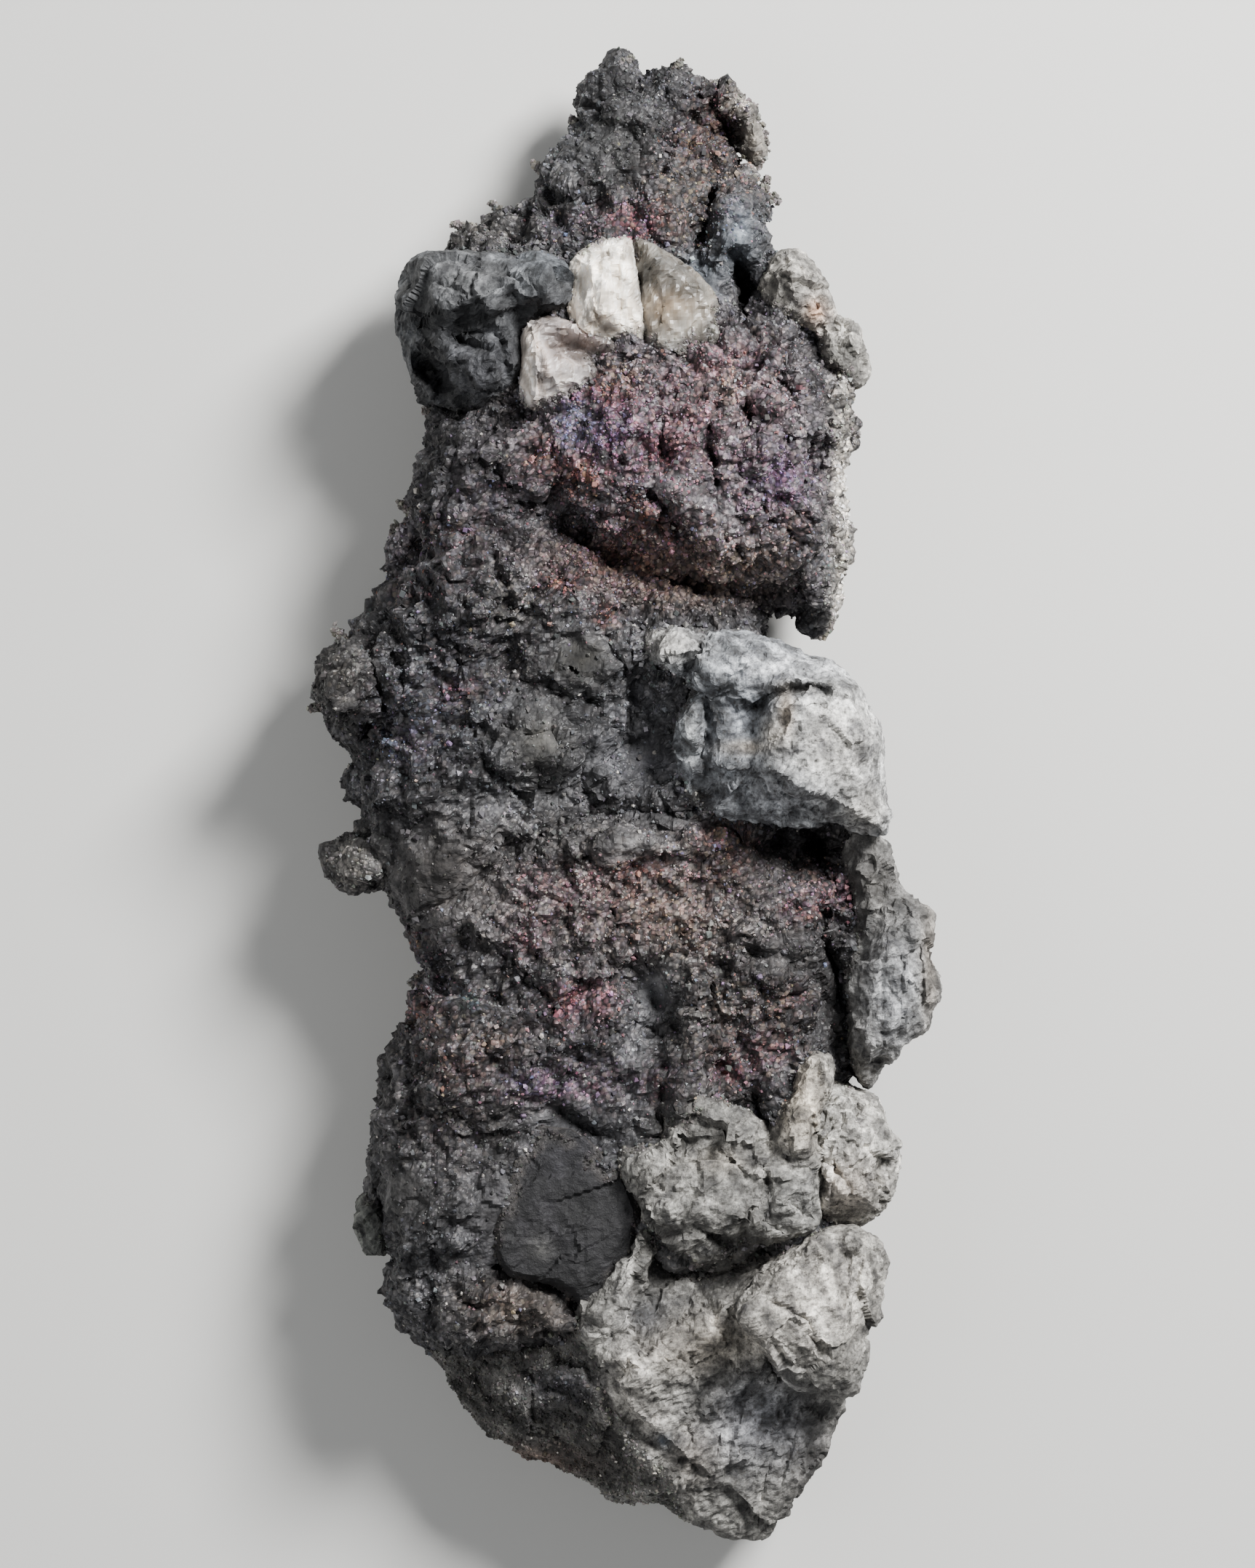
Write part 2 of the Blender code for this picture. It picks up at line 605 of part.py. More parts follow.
def points_of(mesh):
    """The mesh's points in millimetres."""
    flat = np.empty(len(mesh.vertices) * 3)
    mesh.vertices.foreach_get("co", flat)
    return flat.reshape(-1, 3) / MM


def normals_of(mesh):
    flat = np.empty(len(mesh.vertices) * 3)
    mesh.vertex_normals.foreach_get("vector", flat)
    return flat.reshape(-1, 3)


def move_points(mesh, points):
    mesh.vertices.foreach_set("co", (points * MM).ravel())
    mesh.update()


def edge_distance(points, outline):
    """Distance of each (x, y) point to the closed outline."""
    corners = np.array(outline, dtype=float)
    best = np.full(len(points), np.inf)
    for start, end in zip(corners, np.roll(corners, -1, axis=0)):
        run = end - start
        share = np.clip(((points - start) @ run) / (run @ run), 0.0, 1.0)
        foot = start + share[:, None] * run
        best = np.minimum(best, np.hypot(*(points - foot).T))
    return best


def inside(points, outline):
    """True for each (x, y) point within the closed outline."""
    corners = np.array(outline, dtype=float)
    result = np.zeros(len(points), dtype=bool)
    for (ax, ay), (bx, by) in zip(corners, np.roll(corners, -1, axis=0)):
        spans = (ay > points[:, 1]) != (by > points[:, 1])
        slope = (bx - ax) / (by - ay) if by != ay else 0.0
        result ^= spans & (points[:, 0] < ax + (points[:, 1] - ay) * slope)
    return result


def lift(points, forms):
    """Sum of the rises that soft forms give at each (x, y) point."""
    total = np.zeros(len(points))
    for x, y, across, along, turn, rise in forms:
        angle = math.radians(turn)
        dx = points[:, 0] - x
        dy = points[:, 1] - y
        u = (dx * math.cos(angle) + dy * math.sin(angle)) / across
        v = (dy * math.cos(angle) - dx * math.sin(angle)) / along
        total += rise * np.clip(1.0 - u * u - v * v, 0.0, 1.0) ** FORM_POWER
    return total


def fold(points, folds):
    """Sum of the rises along creases and ridges at each (x, y) point."""
    total = np.zeros(len(points))
    for half_width, rise, line in folds:
        near = np.full(len(points), np.inf)
        for start, end in zip(np.array(line[:-1], float), np.array(line[1:], float)):
            run = end - start
            share = np.clip(((points - start) @ run) / (run @ run), 0.0, 1.0)
            foot = start + share[:, None] * run
            near = np.minimum(near, np.hypot(*(points - foot).T))
        total += rise * np.clip(1.0 - near / half_width, 0.0, 1.0) ** FOLD_POWER
    return total


def swell(share):
    """A rounded rim: 0 at the edge, 1 from one rim width inwards."""
    return np.sqrt(1.0 - (1.0 - np.clip(share, 0.0, 1.0)) ** 2)


def lay_grid(outline, spacing):
    """Points of a staggered grid that lie well inside the outline."""
    corners = np.array(outline)
    low = corners.min(axis=0)
    high = corners.max(axis=0)
    rows = []
    for row, y in enumerate(np.arange(low[1], high[1], spacing * GRID_ROW)):
        shift = 0.5 * spacing * (row % 2)
        rows.extend((x + shift, y) for x in np.arange(low[0], high[0], spacing))
    grid = np.array(rows)
    keep = inside(grid, outline) & (edge_distance(grid, outline) > GRID_MARGIN * spacing)
    return grid[keep]


def sheet_solid(name, outline, spacing, heights):
    """A closed solid over an outline; heights(points) gives its low and high surface."""
    rim = [Vector(point) for point in outline]
    grid = [Vector(point) for point in lay_grid(outline, spacing)]
    count = len(rim)
    edges = [(i, (i + 1) % count) for i in range(count)]
    flat, _, faces, _, _, _ = delaunay_2d_cdt(rim + grid, edges, [], 1, 1e-4)
    flat = np.array([tuple(point) for point in flat])
    low, high = heights(flat)
    mesh_points = np.vstack((np.column_stack((flat, high)), np.column_stack((flat, low))))
    total = len(flat)
    solid_faces = [tuple(face) for face in faces]
    solid_faces += [tuple(total + i for i in reversed(face)) for face in faces]
    used = set()
    for face in faces:
        used.update(zip(face, face[1:] + face[:1]))
    for a, b in sorted(used):
        if (b, a) not in used:
            solid_faces.append((b, a, total + a, total + b))
    mesh = bpy.data.meshes.new(name)
    mesh.from_pydata([tuple(point * MM) for point in mesh_points], [], solid_faces)
    shape = bmesh.new()
    shape.from_mesh(mesh)
    bmesh.ops.recalc_face_normals(shape, faces=shape.faces)
    shape.to_mesh(mesh)
    shape.free()
    return add_object(name, mesh)


def crumple(points, size, seed):
    """Rounded lumps of about one size, between -1 and 1, at each point."""
    offset = Vector((seed * 17.3, seed * 5.1, seed * 9.7))
    result = np.empty(len(points))
    for index, point in enumerate(points):
        place = Vector(point) / size + offset
        lumps = 1.0 - LUMP_FALL * noise.voronoi(place)[0][0]
        waves = noise.fractal(place * WAVE_SCALE, 1.0, 2.0, 3)
        result[index] = LUMP_SHARE * lumps + WAVE_SHARE * waves
    return result


def roughen(item, amount, size, seed, buried):
    """Push the surface in and out along its normals, less so where it is buried."""
    points = points_of(item.data)
    normals = normals_of(item.data)
    free = np.clip((points[:, 2] - buried) / BURIED_FADE, 0.0, 1.0)
    points += normals * (amount * free * crumple(points, size, seed))[:, None]
    move_points(item.data, points)


def largest_piece(mesh):
    """Remove every loose piece but the largest."""
    shape = bmesh.new()
    shape.from_mesh(mesh)
    left = set(shape.verts)
    groups = []
    while left:
        start = left.pop()
        group = {start}
        front = [start]
        while front:
            vert = front.pop()
            for edge in vert.link_edges:
                other = edge.other_vert(vert)
                if other in left:
                    left.discard(other)
                    group.add(other)
                    front.append(other)
        groups.append(group)
    groups.sort(key=len)
    loose = [vert for group in groups[:-1] for vert in group]
    bmesh.ops.delete(shape, geom=loose, context="VERTS")
    shape.to_mesh(mesh)
    shape.free()


def thin_out(item, faces):
    """Collapse the surface to about the given number of triangles."""
    bake(item, "TRIANGULATE")
    share = min(1.0, faces / len(item.data.polygons))
    bake(item, "DECIMATE", ratio=share)
    largest_piece(item.data)


def plane_heights(points, planes):
    return [z + (points[:, 0] - x) * cx + (points[:, 1] - y) * cy for x, y, z, cx, cy in planes]


def rock_low(points, rock):
    return np.max(plane_heights(points, rock["below"]), axis=0)


def silver_heights(points):
    """Back and front of the silver over its outline, hollowed where a rock sits in it."""
    stations = np.array(SILVER_PROFILE, dtype=float)
    y = points[:, 1]
    back, middle, front = (np.interp(y, stations[:, 0], stations[:, i]) for i in (1, 2, 3))
    inward = edge_distance(points, SILVER_OUTLINE)
    front = front + lift(points, SILVER_FORMS) + fold(points, SILVER_FOLDS)
    back = back - lift(points, BACK_FORMS)
    high = middle + SKIRT + (front - middle - SKIRT) * swell(inward / FRONT_RIM)
    low = middle - SKIRT - (middle - SKIRT - back) * swell(inward / BACK_RIM)
    for rock in ROCKS.values():
        bed = rock_low(points, rock) + BED_RISE
        for outline, _ in rock["blocks"]:
            sunk = inside(points, outline) & (edge_distance(points, outline) > BED_EDGE)
            high = np.where(sunk, np.minimum(high, bed), high)
    return low, np.maximum(high, low + LEAST_THICKNESS)


def make_block(outline, planes, rock):
    """One block of a rock: flat planes over its outline, rounded at the rim."""

    def heights(points):
        low = rock_low(points, rock)
        high = np.min(plane_heights(points, planes), axis=0)
        high = np.maximum(high, low + LEAST_THICKNESS)
        middle = 0.5 * (low + high)
        share = (edge_distance(points, outline) / rock["rim"] + RIM_START) / (1.0 + RIM_START)
        reach = swell(share)
        return middle - (middle - low) * reach, middle + (high - middle) * reach

    return sheet_solid("block", outline, GRID, heights)


def join(items, name):
    """All the items in one object of the given name, still as separate shells."""
    shape = bmesh.new()
    for item in items:
        shape.from_mesh(item.data)
        bpy.data.objects.remove(item, do_unlink=True)
    mesh = bpy.data.meshes.new(name)
    shape.to_mesh(mesh)
    shape.free()
    return add_object(name, mesh)


def make_rock(name, rock, seed):
    """A host rock or crystal: its blocks grown together, its broad forms and its roughness."""
    item = join([make_block(outline, planes, rock) for outline, planes in rock["blocks"]], name)
    bake(item, "REMESH", mode="VOXEL", voxel_size=ROCK_VOXEL * MM)
    points = points_of(item.data)
    up = np.clip(normals_of(item.data)[:, 2] * UP_GAIN, 0.0, 1.0)
    points[:, 2] += up * lift(points[:, :2], rock["forms"])
    move_points(item.data, points)
    amount, size = rock["rough"]
    deep = rock["below"][0][2]
    roughen(item, amount, size, seed, deep + BURIED_FADE if deep > SUNK_FLOOR else -SUNK_FLOOR)
    thin_out(item, rock["faces"])
    return item


def make_silver():
    """The whole silver mass before the rocks are let into it."""
    item = sheet_solid("silver_mass", SILVER_OUTLINE, GRID, silver_heights)
    bake(item, "REMESH", mode="VOXEL", voxel_size=SILVER_VOXEL * MM)
    for amount, size, seed in SILVER_ROUGH:
        roughen(item, amount, size, seed, -SUNK_FLOOR)
    thin_out(item, SILVER_FACES)
    return item


def grown_copy(item, gap, share):
    """A copy of a rock, larger by the gap all round and plainer, to cut its neighbours with."""
    cutter = add_object("cutter", item.data.copy())
    points = points_of(cutter.data)
    points += normals_of(cutter.data) * gap
    move_points(cutter.data, points)
    bake(cutter, "DECIMATE", ratio=share)
    cutter.hide_render = True
    cutter.display_type = "WIRE"
    return cutter


def boxes_meet(first, second):
    """True where the boxes of two objects come within the gap of each other."""
    a = points_of(first.data)
    b = points_of(second.data)
    apart = np.maximum(a.min(axis=0) - b.max(axis=0), b.min(axis=0) - a.max(axis=0))
    return apart.max() < ROCK_GAP


def cut(item, cutter):
    bake(item, "BOOLEAN", operation="DIFFERENCE", solver="EXACT", object=cutter)
    bpy.data.objects.remove(cutter, do_unlink=True)
    largest_piece(item.data)


def rest_flat(item):
    """Cut the silver's back off level where it lies on the surface."""
    shape = bmesh.new()
    shape.from_mesh(item.data)
    everything = shape.verts[:] + shape.edges[:] + shape.faces[:]
    cut_open = bmesh.ops.bisect_plane(
        shape, geom=everything, dist=1e-7, plane_co=(0, 0, 0), plane_no=(0, 0, 1), clear_inner=True
    )
    rim = [part for part in cut_open["geom_cut"] if isinstance(part, bmesh.types.BMEdge)]
    bmesh.ops.holes_fill(shape, edges=rim, sides=0)
    shape.to_mesh(item.data)
    shape.free()
    largest_piece(item.data)


def centre(items):
    """Move every piece so that the middle of the whole outline is over the origin."""
    clouds = [points_of(item.data) for item in items]
    low = np.min([cloud.min(axis=0) for cloud in clouds], axis=0)
    high = np.max([cloud.max(axis=0) for cloud in clouds], axis=0)
    middle = 0.5 * (low + high)
    middle[2] = low[2]
    for item, cloud in zip(items, clouds):
        move_points(item.data, cloud - middle)


def build():
    clear_scene()
    silver = make_silver()
    rest_flat(silver)
    rocks = []
    for seed, (name, rock) in enumerate(ROCKS.items(), start=FIRST_ROCK_SEED):
        item = make_rock(name, rock, seed)
        for other in rocks:
            if boxes_meet(item, other):
                cut(item, grown_copy(other, ROCK_GAP, 1.0))
        bake(item, "TRIANGULATE")
        item.data.materials.clear()
        item.data.materials.append(finish(rock["stone"]))
        share = max(SEAT_FACES, LEAST_SEAT_FACES / rock["faces"])
        cut(silver, grown_copy(item, SEAT_GAP, min(share, 1.0)))
        rocks.append(item)
        print(name, len(item.data.polygons))
    bake(silver, "TRIANGULATE")
    silver.data.materials.clear()
    silver.data.materials.append(finish("native_silver"))
    print("silver_mass", len(silver.data.polygons))
    centre([silver, *rocks])


build()
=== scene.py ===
# %% [markdown]
# # A hand specimen of native silver
# Native silver grows in cracks of the rock as crumbly metal, between fragments of host rock and calcite.
# This one is a long slab, laid down on its back, so the camera looks straight down on it.
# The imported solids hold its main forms. This lesson gives them their skin: the crumbs, the broken
# faces, the cracks and the colours of the tarnish.

import bpy
import numpy as np
from mathutils import Euler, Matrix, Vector, noise
from mathutils.bvhtree import BVHTree


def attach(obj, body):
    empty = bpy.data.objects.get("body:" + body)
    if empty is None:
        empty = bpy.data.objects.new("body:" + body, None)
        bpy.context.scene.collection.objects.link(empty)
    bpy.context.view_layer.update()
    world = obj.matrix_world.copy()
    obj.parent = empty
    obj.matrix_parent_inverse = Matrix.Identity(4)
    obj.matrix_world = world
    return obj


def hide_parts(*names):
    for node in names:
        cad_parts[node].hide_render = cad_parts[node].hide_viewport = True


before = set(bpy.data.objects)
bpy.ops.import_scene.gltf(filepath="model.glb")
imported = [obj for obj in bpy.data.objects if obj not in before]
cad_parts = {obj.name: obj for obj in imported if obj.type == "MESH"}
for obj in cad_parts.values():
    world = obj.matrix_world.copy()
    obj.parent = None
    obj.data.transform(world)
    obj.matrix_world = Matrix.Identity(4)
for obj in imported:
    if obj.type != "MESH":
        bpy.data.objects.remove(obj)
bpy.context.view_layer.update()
MM = 0.001

# %% [markdown]
# ## Hands and eyes
# A sculptor works on a mesh with a few moves, again and again. Operators act on what is selected, so each
# helper first deselects everything and then picks its own piece. All measures below are in millimetres.

# %% Pick, copy and finish a piece
def pick(piece):
    bpy.ops.object.select_all(action="DESELECT")
    piece.select_set(True)
    bpy.context.view_layer.objects.active = piece


def take_copy(node, name):
    piece = bpy.data.objects.new(name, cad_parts[node].data.copy())
    bpy.context.scene.collection.objects.link(piece)
    pick(piece)
    bpy.ops.object.mode_set(mode="EDIT")
    bpy.ops.mesh.select_all(action="SELECT")
    bpy.ops.mesh.remove_doubles(threshold=0.01 * MM)
    bpy.ops.object.mode_set(mode="OBJECT")
    piece.data.materials.clear()
    return piece


def use_modifier(piece, kind, **settings):
    pick(piece)
    modifier = piece.modifiers.new(kind.title(), kind)
    for setting, value in settings.items():
        setattr(modifier, setting, value)
    bpy.ops.object.modifier_apply(modifier=modifier.name)


def hand_in(piece, material, slot, *nodes):
    piece.data.materials.append(material)
    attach(piece, "root")
    if nodes:
        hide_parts(*nodes)
    piece.data.calc_loop_triangles()
    print(f"{piece.name}: {len(piece.data.loop_triangles)} triangles")


# %% [markdown]
# A skin can have over a hundred thousand points, too many to move one by one. They are read as one table of
# numbers, changed all at once and written back. What is painted on a piece is kept in it as an attribute.

# %% Read and move the points of a piece
def read(data, what, width=3):
    values = np.empty(len(data) * width, np.float32)
    data.foreach_get(what, values)
    return values.reshape(-1, width).astype(float)


def places(piece):
    return read(piece.data.vertices, "co") / MM


def facings(piece):
    return read(piece.data.vertices, "normal")


def put(piece, co):
    piece.data.vertices.foreach_set("co", (co * MM).astype(np.float32).ravel())
    piece.data.update()


def write(piece, name, values):
    if values.ndim == 1:
        layer = piece.data.attributes.new(name, "FLOAT", "POINT")
        layer.data.foreach_set("value", values.astype(np.float32))
    else:
        layer = piece.data.attributes.new(name, "FLOAT_COLOR", "POINT")
        layer.data.foreach_set("color", values.astype(np.float32).ravel())


# %% [markdown]
# Noise is the sculptor's rough thumb. Perlin noise gives soft swells, and folded it gives sharp crests.
# Voronoi noise gives crumbs: each crumb is a cell, and the groove between two crumbs is where two cells meet.
# With a plane of its own tilt in each cell it gives the facets of broken rock.

# %% Four kinds of noise
ASKEW = np.array(Euler((0.7, 0.4, 1.1)).to_matrix())


def cells(co, size, seed):
    """Where each point is in the noise, which is turned so that its grid doesn't line up with the part."""
    return (co @ ASKEW / size + seed * 7.31).tolist()


def swells(co, size, seed):
    return np.array([noise.noise(p) for p in cells(co, size, seed)])


def crumbs(co, size, seed):
    return 0.5 - np.array([noise.noise(p, noise_basis="VORONOI_F1") for p in cells(co, size, seed)])


def ridges(co, size, seed):
    """Sharp crests: the noise is folded at zero."""
    return 0.4 - 2 * np.abs(swells(co, size, seed))


def chips(co, size, seed):
    """Each cell is a broken facet: a plane with its own random tilt."""
    heights = []
    for p in cells(co, size, seed):
        corner = noise.voronoi(p)[1][0]
        tilt = noise.cell_vector(corner * 3.7)
        heights.append((tilt - Vector((0.5, 0.5, 0.5))).dot(Vector(p) - corner))
    return np.array(heights) * 2


# %% [markdown]
# What the photograph shows in one place is put there one by one. A stroke presses a line in or raises it, as
# a finger does in clay. A ledge is a broken edge, which stands up on one side of its line. A spot is a soft
# oval that stills the noise or holds paint. All three are placed in plan, as the camera sees them.

# %% Strokes, ledges and spots
def line_distance(co, line):
    nearest = np.full(len(co), 1e9)
    plan = co[:, :2]
    line = np.array(line, float)
    for a, b in zip(line, line[1:] if len(line) > 1 else line):
        way = b - a
        t = np.clip((plan - a) @ way / max(way @ way, 1e-9), 0, 1)
        nearest = np.minimum(nearest, np.linalg.norm(plan - a - t[:, None] * way, axis=1))
    return nearest


def soft(t):
    t = np.clip(t, 0, 1)
    return t * t * (3 - 2 * t)


def stroke(co, half, line):
    """1 on the line, and 0 from half its width."""
    return soft(1 - line_distance(co, line) / half)


def ledge_height(co, reach, height, line):
    """A broken edge: the ground left of the line stands up, and sinks back over its reach."""
    plan, line = co[:, :2], np.array(line, float)
    nearest, side, past = np.full(len(co), 1e9), np.zeros(len(co)), np.zeros(len(co))
    for i, (a, b) in enumerate(zip(line, line[1:])):
        way, length = b - a, np.linalg.norm(b - a)
        along = (plan - a) @ way / length
        held = np.clip(along, 0, length)
        far = np.linalg.norm(plan - a - held[:, None] * way / length, axis=1)
        across = (way[0] * (plan - a)[:, 1] - way[1] * (plan - a)[:, 0]) / length
        closer = far < nearest
        nearest = np.where(closer, far, nearest)
        side = np.where(closer, np.sign(across) * far, side)
        beyond = np.abs(along - held) * ((i == 0) | (along > 0)) * ((i == len(line) - 2) | (along < length))
        past = np.where(closer, beyond, past)
    rise = soft((side + 0.3) / 0.6) * np.exp(-np.maximum(side, 0) / reach) * (side > -1)
    return height * rise * soft(1 - past / 2)


def spots(co, table):
    """The strongest of many soft oval spots, each x, y, reach across, reach along, strength."""
    best = np.zeros(len(co))
    for x, y, across, along, strength in table:
        far = ((co[:, 0] - x) / across) ** 2 + ((co[:, 1] - y) / along) ** 2
        best = np.maximum(best, strength * np.exp(-far))
    return best


def press(piece, strokes, ledges=()):
    """Carves what faces up, by strokes (half width, height, line) and ledges (reach, height, line)."""
    co = places(piece)
    up = soft(facings(piece)[:, 2] / 0.5)
    for half, height, *line in strokes:
        co[:, 2] += height * up * stroke(co, half, line)
    for reach, height, *line in ledges:
        co[:, 2] += up * ledge_height(co, reach, height, line)
    put(piece, co)


# %% [markdown]
# ## Colours and the node helper
# Colours are read off as the eye sees them, in sRGB hex. Shaders work in linear light, so one function
# converts them. Another adds a shader node, sets it and links what feeds it.

# %% Colour and node helpers
def linear(code, alpha=1.0):
    values = [int(code[i:i + 2], 16) / 255 for i in (1, 3, 5)]
    return [v / 12.92 if v <= 0.04045 else ((v + 0.055) / 1.055) ** 2.4 for v in values] + [alpha]


def add(tree, kind, inputs=None, stops=(), **settings):
    """A shader node with its settings. An input is a value, or the node or socket that feeds it."""
    made = tree.nodes.new("ShaderNode" + kind)
    for setting, value in settings.items():
        setattr(made, setting, value)
    for socket, value in (inputs or {}).items():
        if isinstance(value, bpy.types.Node):
            # A Mix node has its colour result in third place
            value = value.outputs[2 if value.bl_idname == "ShaderNodeMix" else 0]
        if isinstance(value, bpy.types.NodeSocket):
            tree.links.new(value, made.inputs[socket])
        else:
            made.inputs[socket].default_value = value
    while len(stops) > len(made.color_ramp.elements if stops else ()):
        made.color_ramp.elements.new(0.5)
    for i, (place, code) in enumerate(stops):
        made.color_ramp.elements[i].position = place
        made.color_ramp.elements[i].color = linear(code)
    return made


# Settings of a Mix node that blends two colours, or multiplies them
COLOURS = dict(data_type="RGBA")
TIMES = dict(data_type="RGBA", blend_type="MULTIPLY")


def new_material(name):
    material = bpy.data.materials.new(name)
    material.use_nodes = True
    material.node_tree.nodes.clear()
    return material, material.node_tree


def per(size):
    """The scale of a texture whose features are this many millimetres."""
    return 1 / (size * MM)


# %% [markdown]
# ## Tarnish
# Fresh silver is white. In the air a film of sulphide grows on it, first gold and rose, then violet and
# blue, and at last charcoal. So most crumbs here are charcoal, and some spots still show the film's colours.

# %% Where the tarnish shows which colour
# The hues of the film, and rows of x, y, reach across, reach along, colour and strength
ROSE, WINE, COPPER, RUST, GOLD = "#bf8a95", "#84454f", "#97624e", "#5c4236", "#a89878"
VIOLET, BLUE, TEAL, TAN, PALE = "#80678f", "#667597", "#43767c", "#b4a08a", "#d4cec6"

FILM = [ROSE, WINE, VIOLET, BLUE, GOLD, COPPER]
TARNISH_AND_PAINTED_SHADE = [
    # Wide veils of colour under the single spots
    (10, 58, 20, 19, ROSE, 0.5), (-3, 62, 9, 9, VIOLET, 0.5), (24, 52, 10, 12, VIOLET, 0.35),
    (14, 103, 10, 7, GOLD, 0.25), (2, 96, 8, 4, WINE, 0.4), (-5, 38, 12, 6, WINE, 0.35),
    (0, -18, 20, 8, ROSE, 0.4), (-8, -34, 10, 6, ROSE, 0.35), (-4, -47, 20, 5, VIOLET, 0.4),
    (20, -42, 10, 7, WINE, 0.35), (32, -16, 6, 5, ROSE, 0.4), (-36, 12, 8, 9, BLUE, 0.45),
    (-33, -32, 6, 8, BLUE, 0.4), (-22, 24, 12, 9, BLUE, 0.2), (-16, 72, 10, 5, BLUE, 0.2),
    (-30, -56, 9, 8, VIOLET, 0.2), (-29, -38, 8, 7, TAN, 0.3), (-30, 40, 10, 8, WINE, 0.25),
    # The top sheet; the rust-brown film at (15, 115) and (11, 110) is painted shade in the hollow under the
    # hook
    (9, 103, 5, 4.5, GOLD, 0.45), (19, 104, 5, 4, TAN, 0.5), (3, 96, 4, 3.5, WINE, 0.85),
    (-11, 95, 5, 3, BLUE, 0.35), (15, 115, 5, 7, RUST, 0.6), (18.5, 97.5, 3, 4, BLUE, 0.6),
    (11, 110, 4, 4, RUST, 0.7), (-2, 97, 5, 3, ROSE, 0.4), (9, 95, 4, 4, TAN, 0.4),
    # The bulb
    (-5, 60, 6, 7, VIOLET, 0.95), (-8, 55, 4, 4, COPPER, 0.5), (-3, 67, 5, 4, WINE, 0.9),
    (15, 72, 5, 4, ROSE, 0.75), (10, 62, 6, 7, ROSE, 0.6), (0, 70, 5, 3, GOLD, 0.5),
    (18, 68, 4, 4, GOLD, 0.5), (20, 39, 8, 4, GOLD, 0.6), (26, 52, 5, 5, VIOLET, 0.95),
    (-13.5, 57, 3.5, 4, COPPER, 0.8), (3.5, 46, 3.5, 3.5, COPPER, 0.85), (-6, 53, 4, 3, COPPER, 0.9),
    (22, 74, 5, 4, WINE, 0.45), (5, 57, 4, 4, WINE, 0.55), (24, 66, 5, 4, ROSE, 0.4),
    (34, 39, 1.6, 1.6, TEAL, 0.9), (-8, 62, 3.5, 4.5, BLUE, 0.9), (27, 45, 4, 4, TAN, 0.4),
    # Along the foot of the bulb the rust-brown film is partly tarnish and partly painted shade under its
    # overhang
    (10, 43, 8, 4, RUST, 0.5), (0, 41, 9, 4, RUST, 0.6), (15, 36, 8, 2.5, RUST, 0.5),
    # The left and middle field
    (-11, 36, 3.5, 1.6, COPPER, 0.8), (-3, 30, 2.5, 2.5, COPPER, 0.9), (-27, 18, 4, 2.5, WINE, 0.5),
    (-28, 44, 4, 2, RUST, 0.6), (-37, 34, 4, 2, RUST, 0.4), (-38, 9, 3, 2, TEAL, 0.35),
    (-35, 9, 4, 3, VIOLET, 0.35), (-22, 50, 7, 5, VIOLET, 0.25), (4, 36, 4, 3, RUST, 0.4),
    # The lower field
    (3, -12, 5, 2.5, COPPER, 0.75), (17, -6, 6, 4, RUST, 0.95), (17, -12, 6, 3, RUST, 0.7),
    (6, -19, 8, 5, TAN, 0.7), (12, -24, 5, 4, TAN, 0.5), (-16, -23, 4, 4, ROSE, 0.6),
    (-9, -34, 2.5, 3.5, WINE, 0.95), (-4, -33, 3, 3, ROSE, 0.85), (17.5, -45.5, 2.5, 2.5, WINE, 0.9),
    (24, -42, 4, 3, ROSE, 0.7), (30, -18, 5, 2.5, WINE, 0.65), (5, -48, 3, 3, WINE, 0.6),
    (37, -15, 3, 3, ROSE, 0.7), (-13, -48, 6, 3, VIOLET, 0.95), (-6, -48, 4, 2, ROSE, 0.5),
    (-26, -34, 3, 2, TEAL, 0.95), (-34, -36, 4, 4, COPPER, 0.5), (-21, -41, 4, 3, TAN, 0.6),
    (-9, -15, 6, 4, WINE, 0.45), (-35, -24, 3, 2.5, RUST, 0.6), (-27, -45, 5, 4, COPPER, 0.4),
    (26, -34, 5, 4, TAN, 0.35), (17, -34, 5, 5, TAN, 0.4), (-15, -14, 3, 3, ROSE, 0.4),
    (30, -12, 3, 3, TAN, 0.45), (28, -33, 4, 3, WINE, 0.35), (-20, -84, 6, 4, TAN, 0.4),
]

print(len(TARNISH_AND_PAINTED_SHADE), "spots of tarnish")

# %% [markdown]
# Paint goes on in soft spots, each over the one before, and is kept in the mesh as a colour attribute. The
# fourth number holds how much paint there is, so a shader can break its edge up. Real ground is never one
# colour, so it is also mottled: lightened and darkened in patches of 5 and 2 mm, and in streaks.

# %% Paint spots over a ground colour
def mottle(co, colour, wide, fine, streak=0.0):
    """Lightens and darkens by noise. The noise of the streaks is drawn out down the slab."""
    along = co @ np.array([[0.85, 0.15, 0], [0.5, -0.25, 0], [0, 0, 1]])
    patches = wide * swells(co, 5.5, 31) + fine * swells(co, 2.2, 32) + streak * swells(along, 2.5, 33)
    colour[:, :3] *= np.exp(patches)[:, None]
    return colour


def paint(co, ground, table):
    colour = np.tile(linear(ground, 0.0), (len(co), 1))
    for x, y, across, along, code, strength in table:
        far = ((co[:, 0] - x) / across) ** 2 + ((co[:, 1] - y) / along) ** 2
        share = (strength * np.exp(-far))[:, None]
        colour[:, :3] += (np.array(linear(code)[:3]) - colour[:, :3]) * share
        colour[:, 3:] += (1 - colour[:, 3:]) * share
    return colour


# %% [markdown]
# ## The native silver
# The silver is one grown mass. Its skin is made of crumbs about a millimetre across, with calm matte
# patches where rock dust has been pressed into it. The imported solid is too plain for that, so a copy is
# remeshed to small even faces, smoothed, and then carved and roughened. First comes what the photograph
# shows where: the calm patches, the body colours under the tarnish with some painted shade among them, and
# the carved strokes.

# %% Calm patches, body colours with painted shade, and strokes of the silver
CHARCOAL = "#58585b"
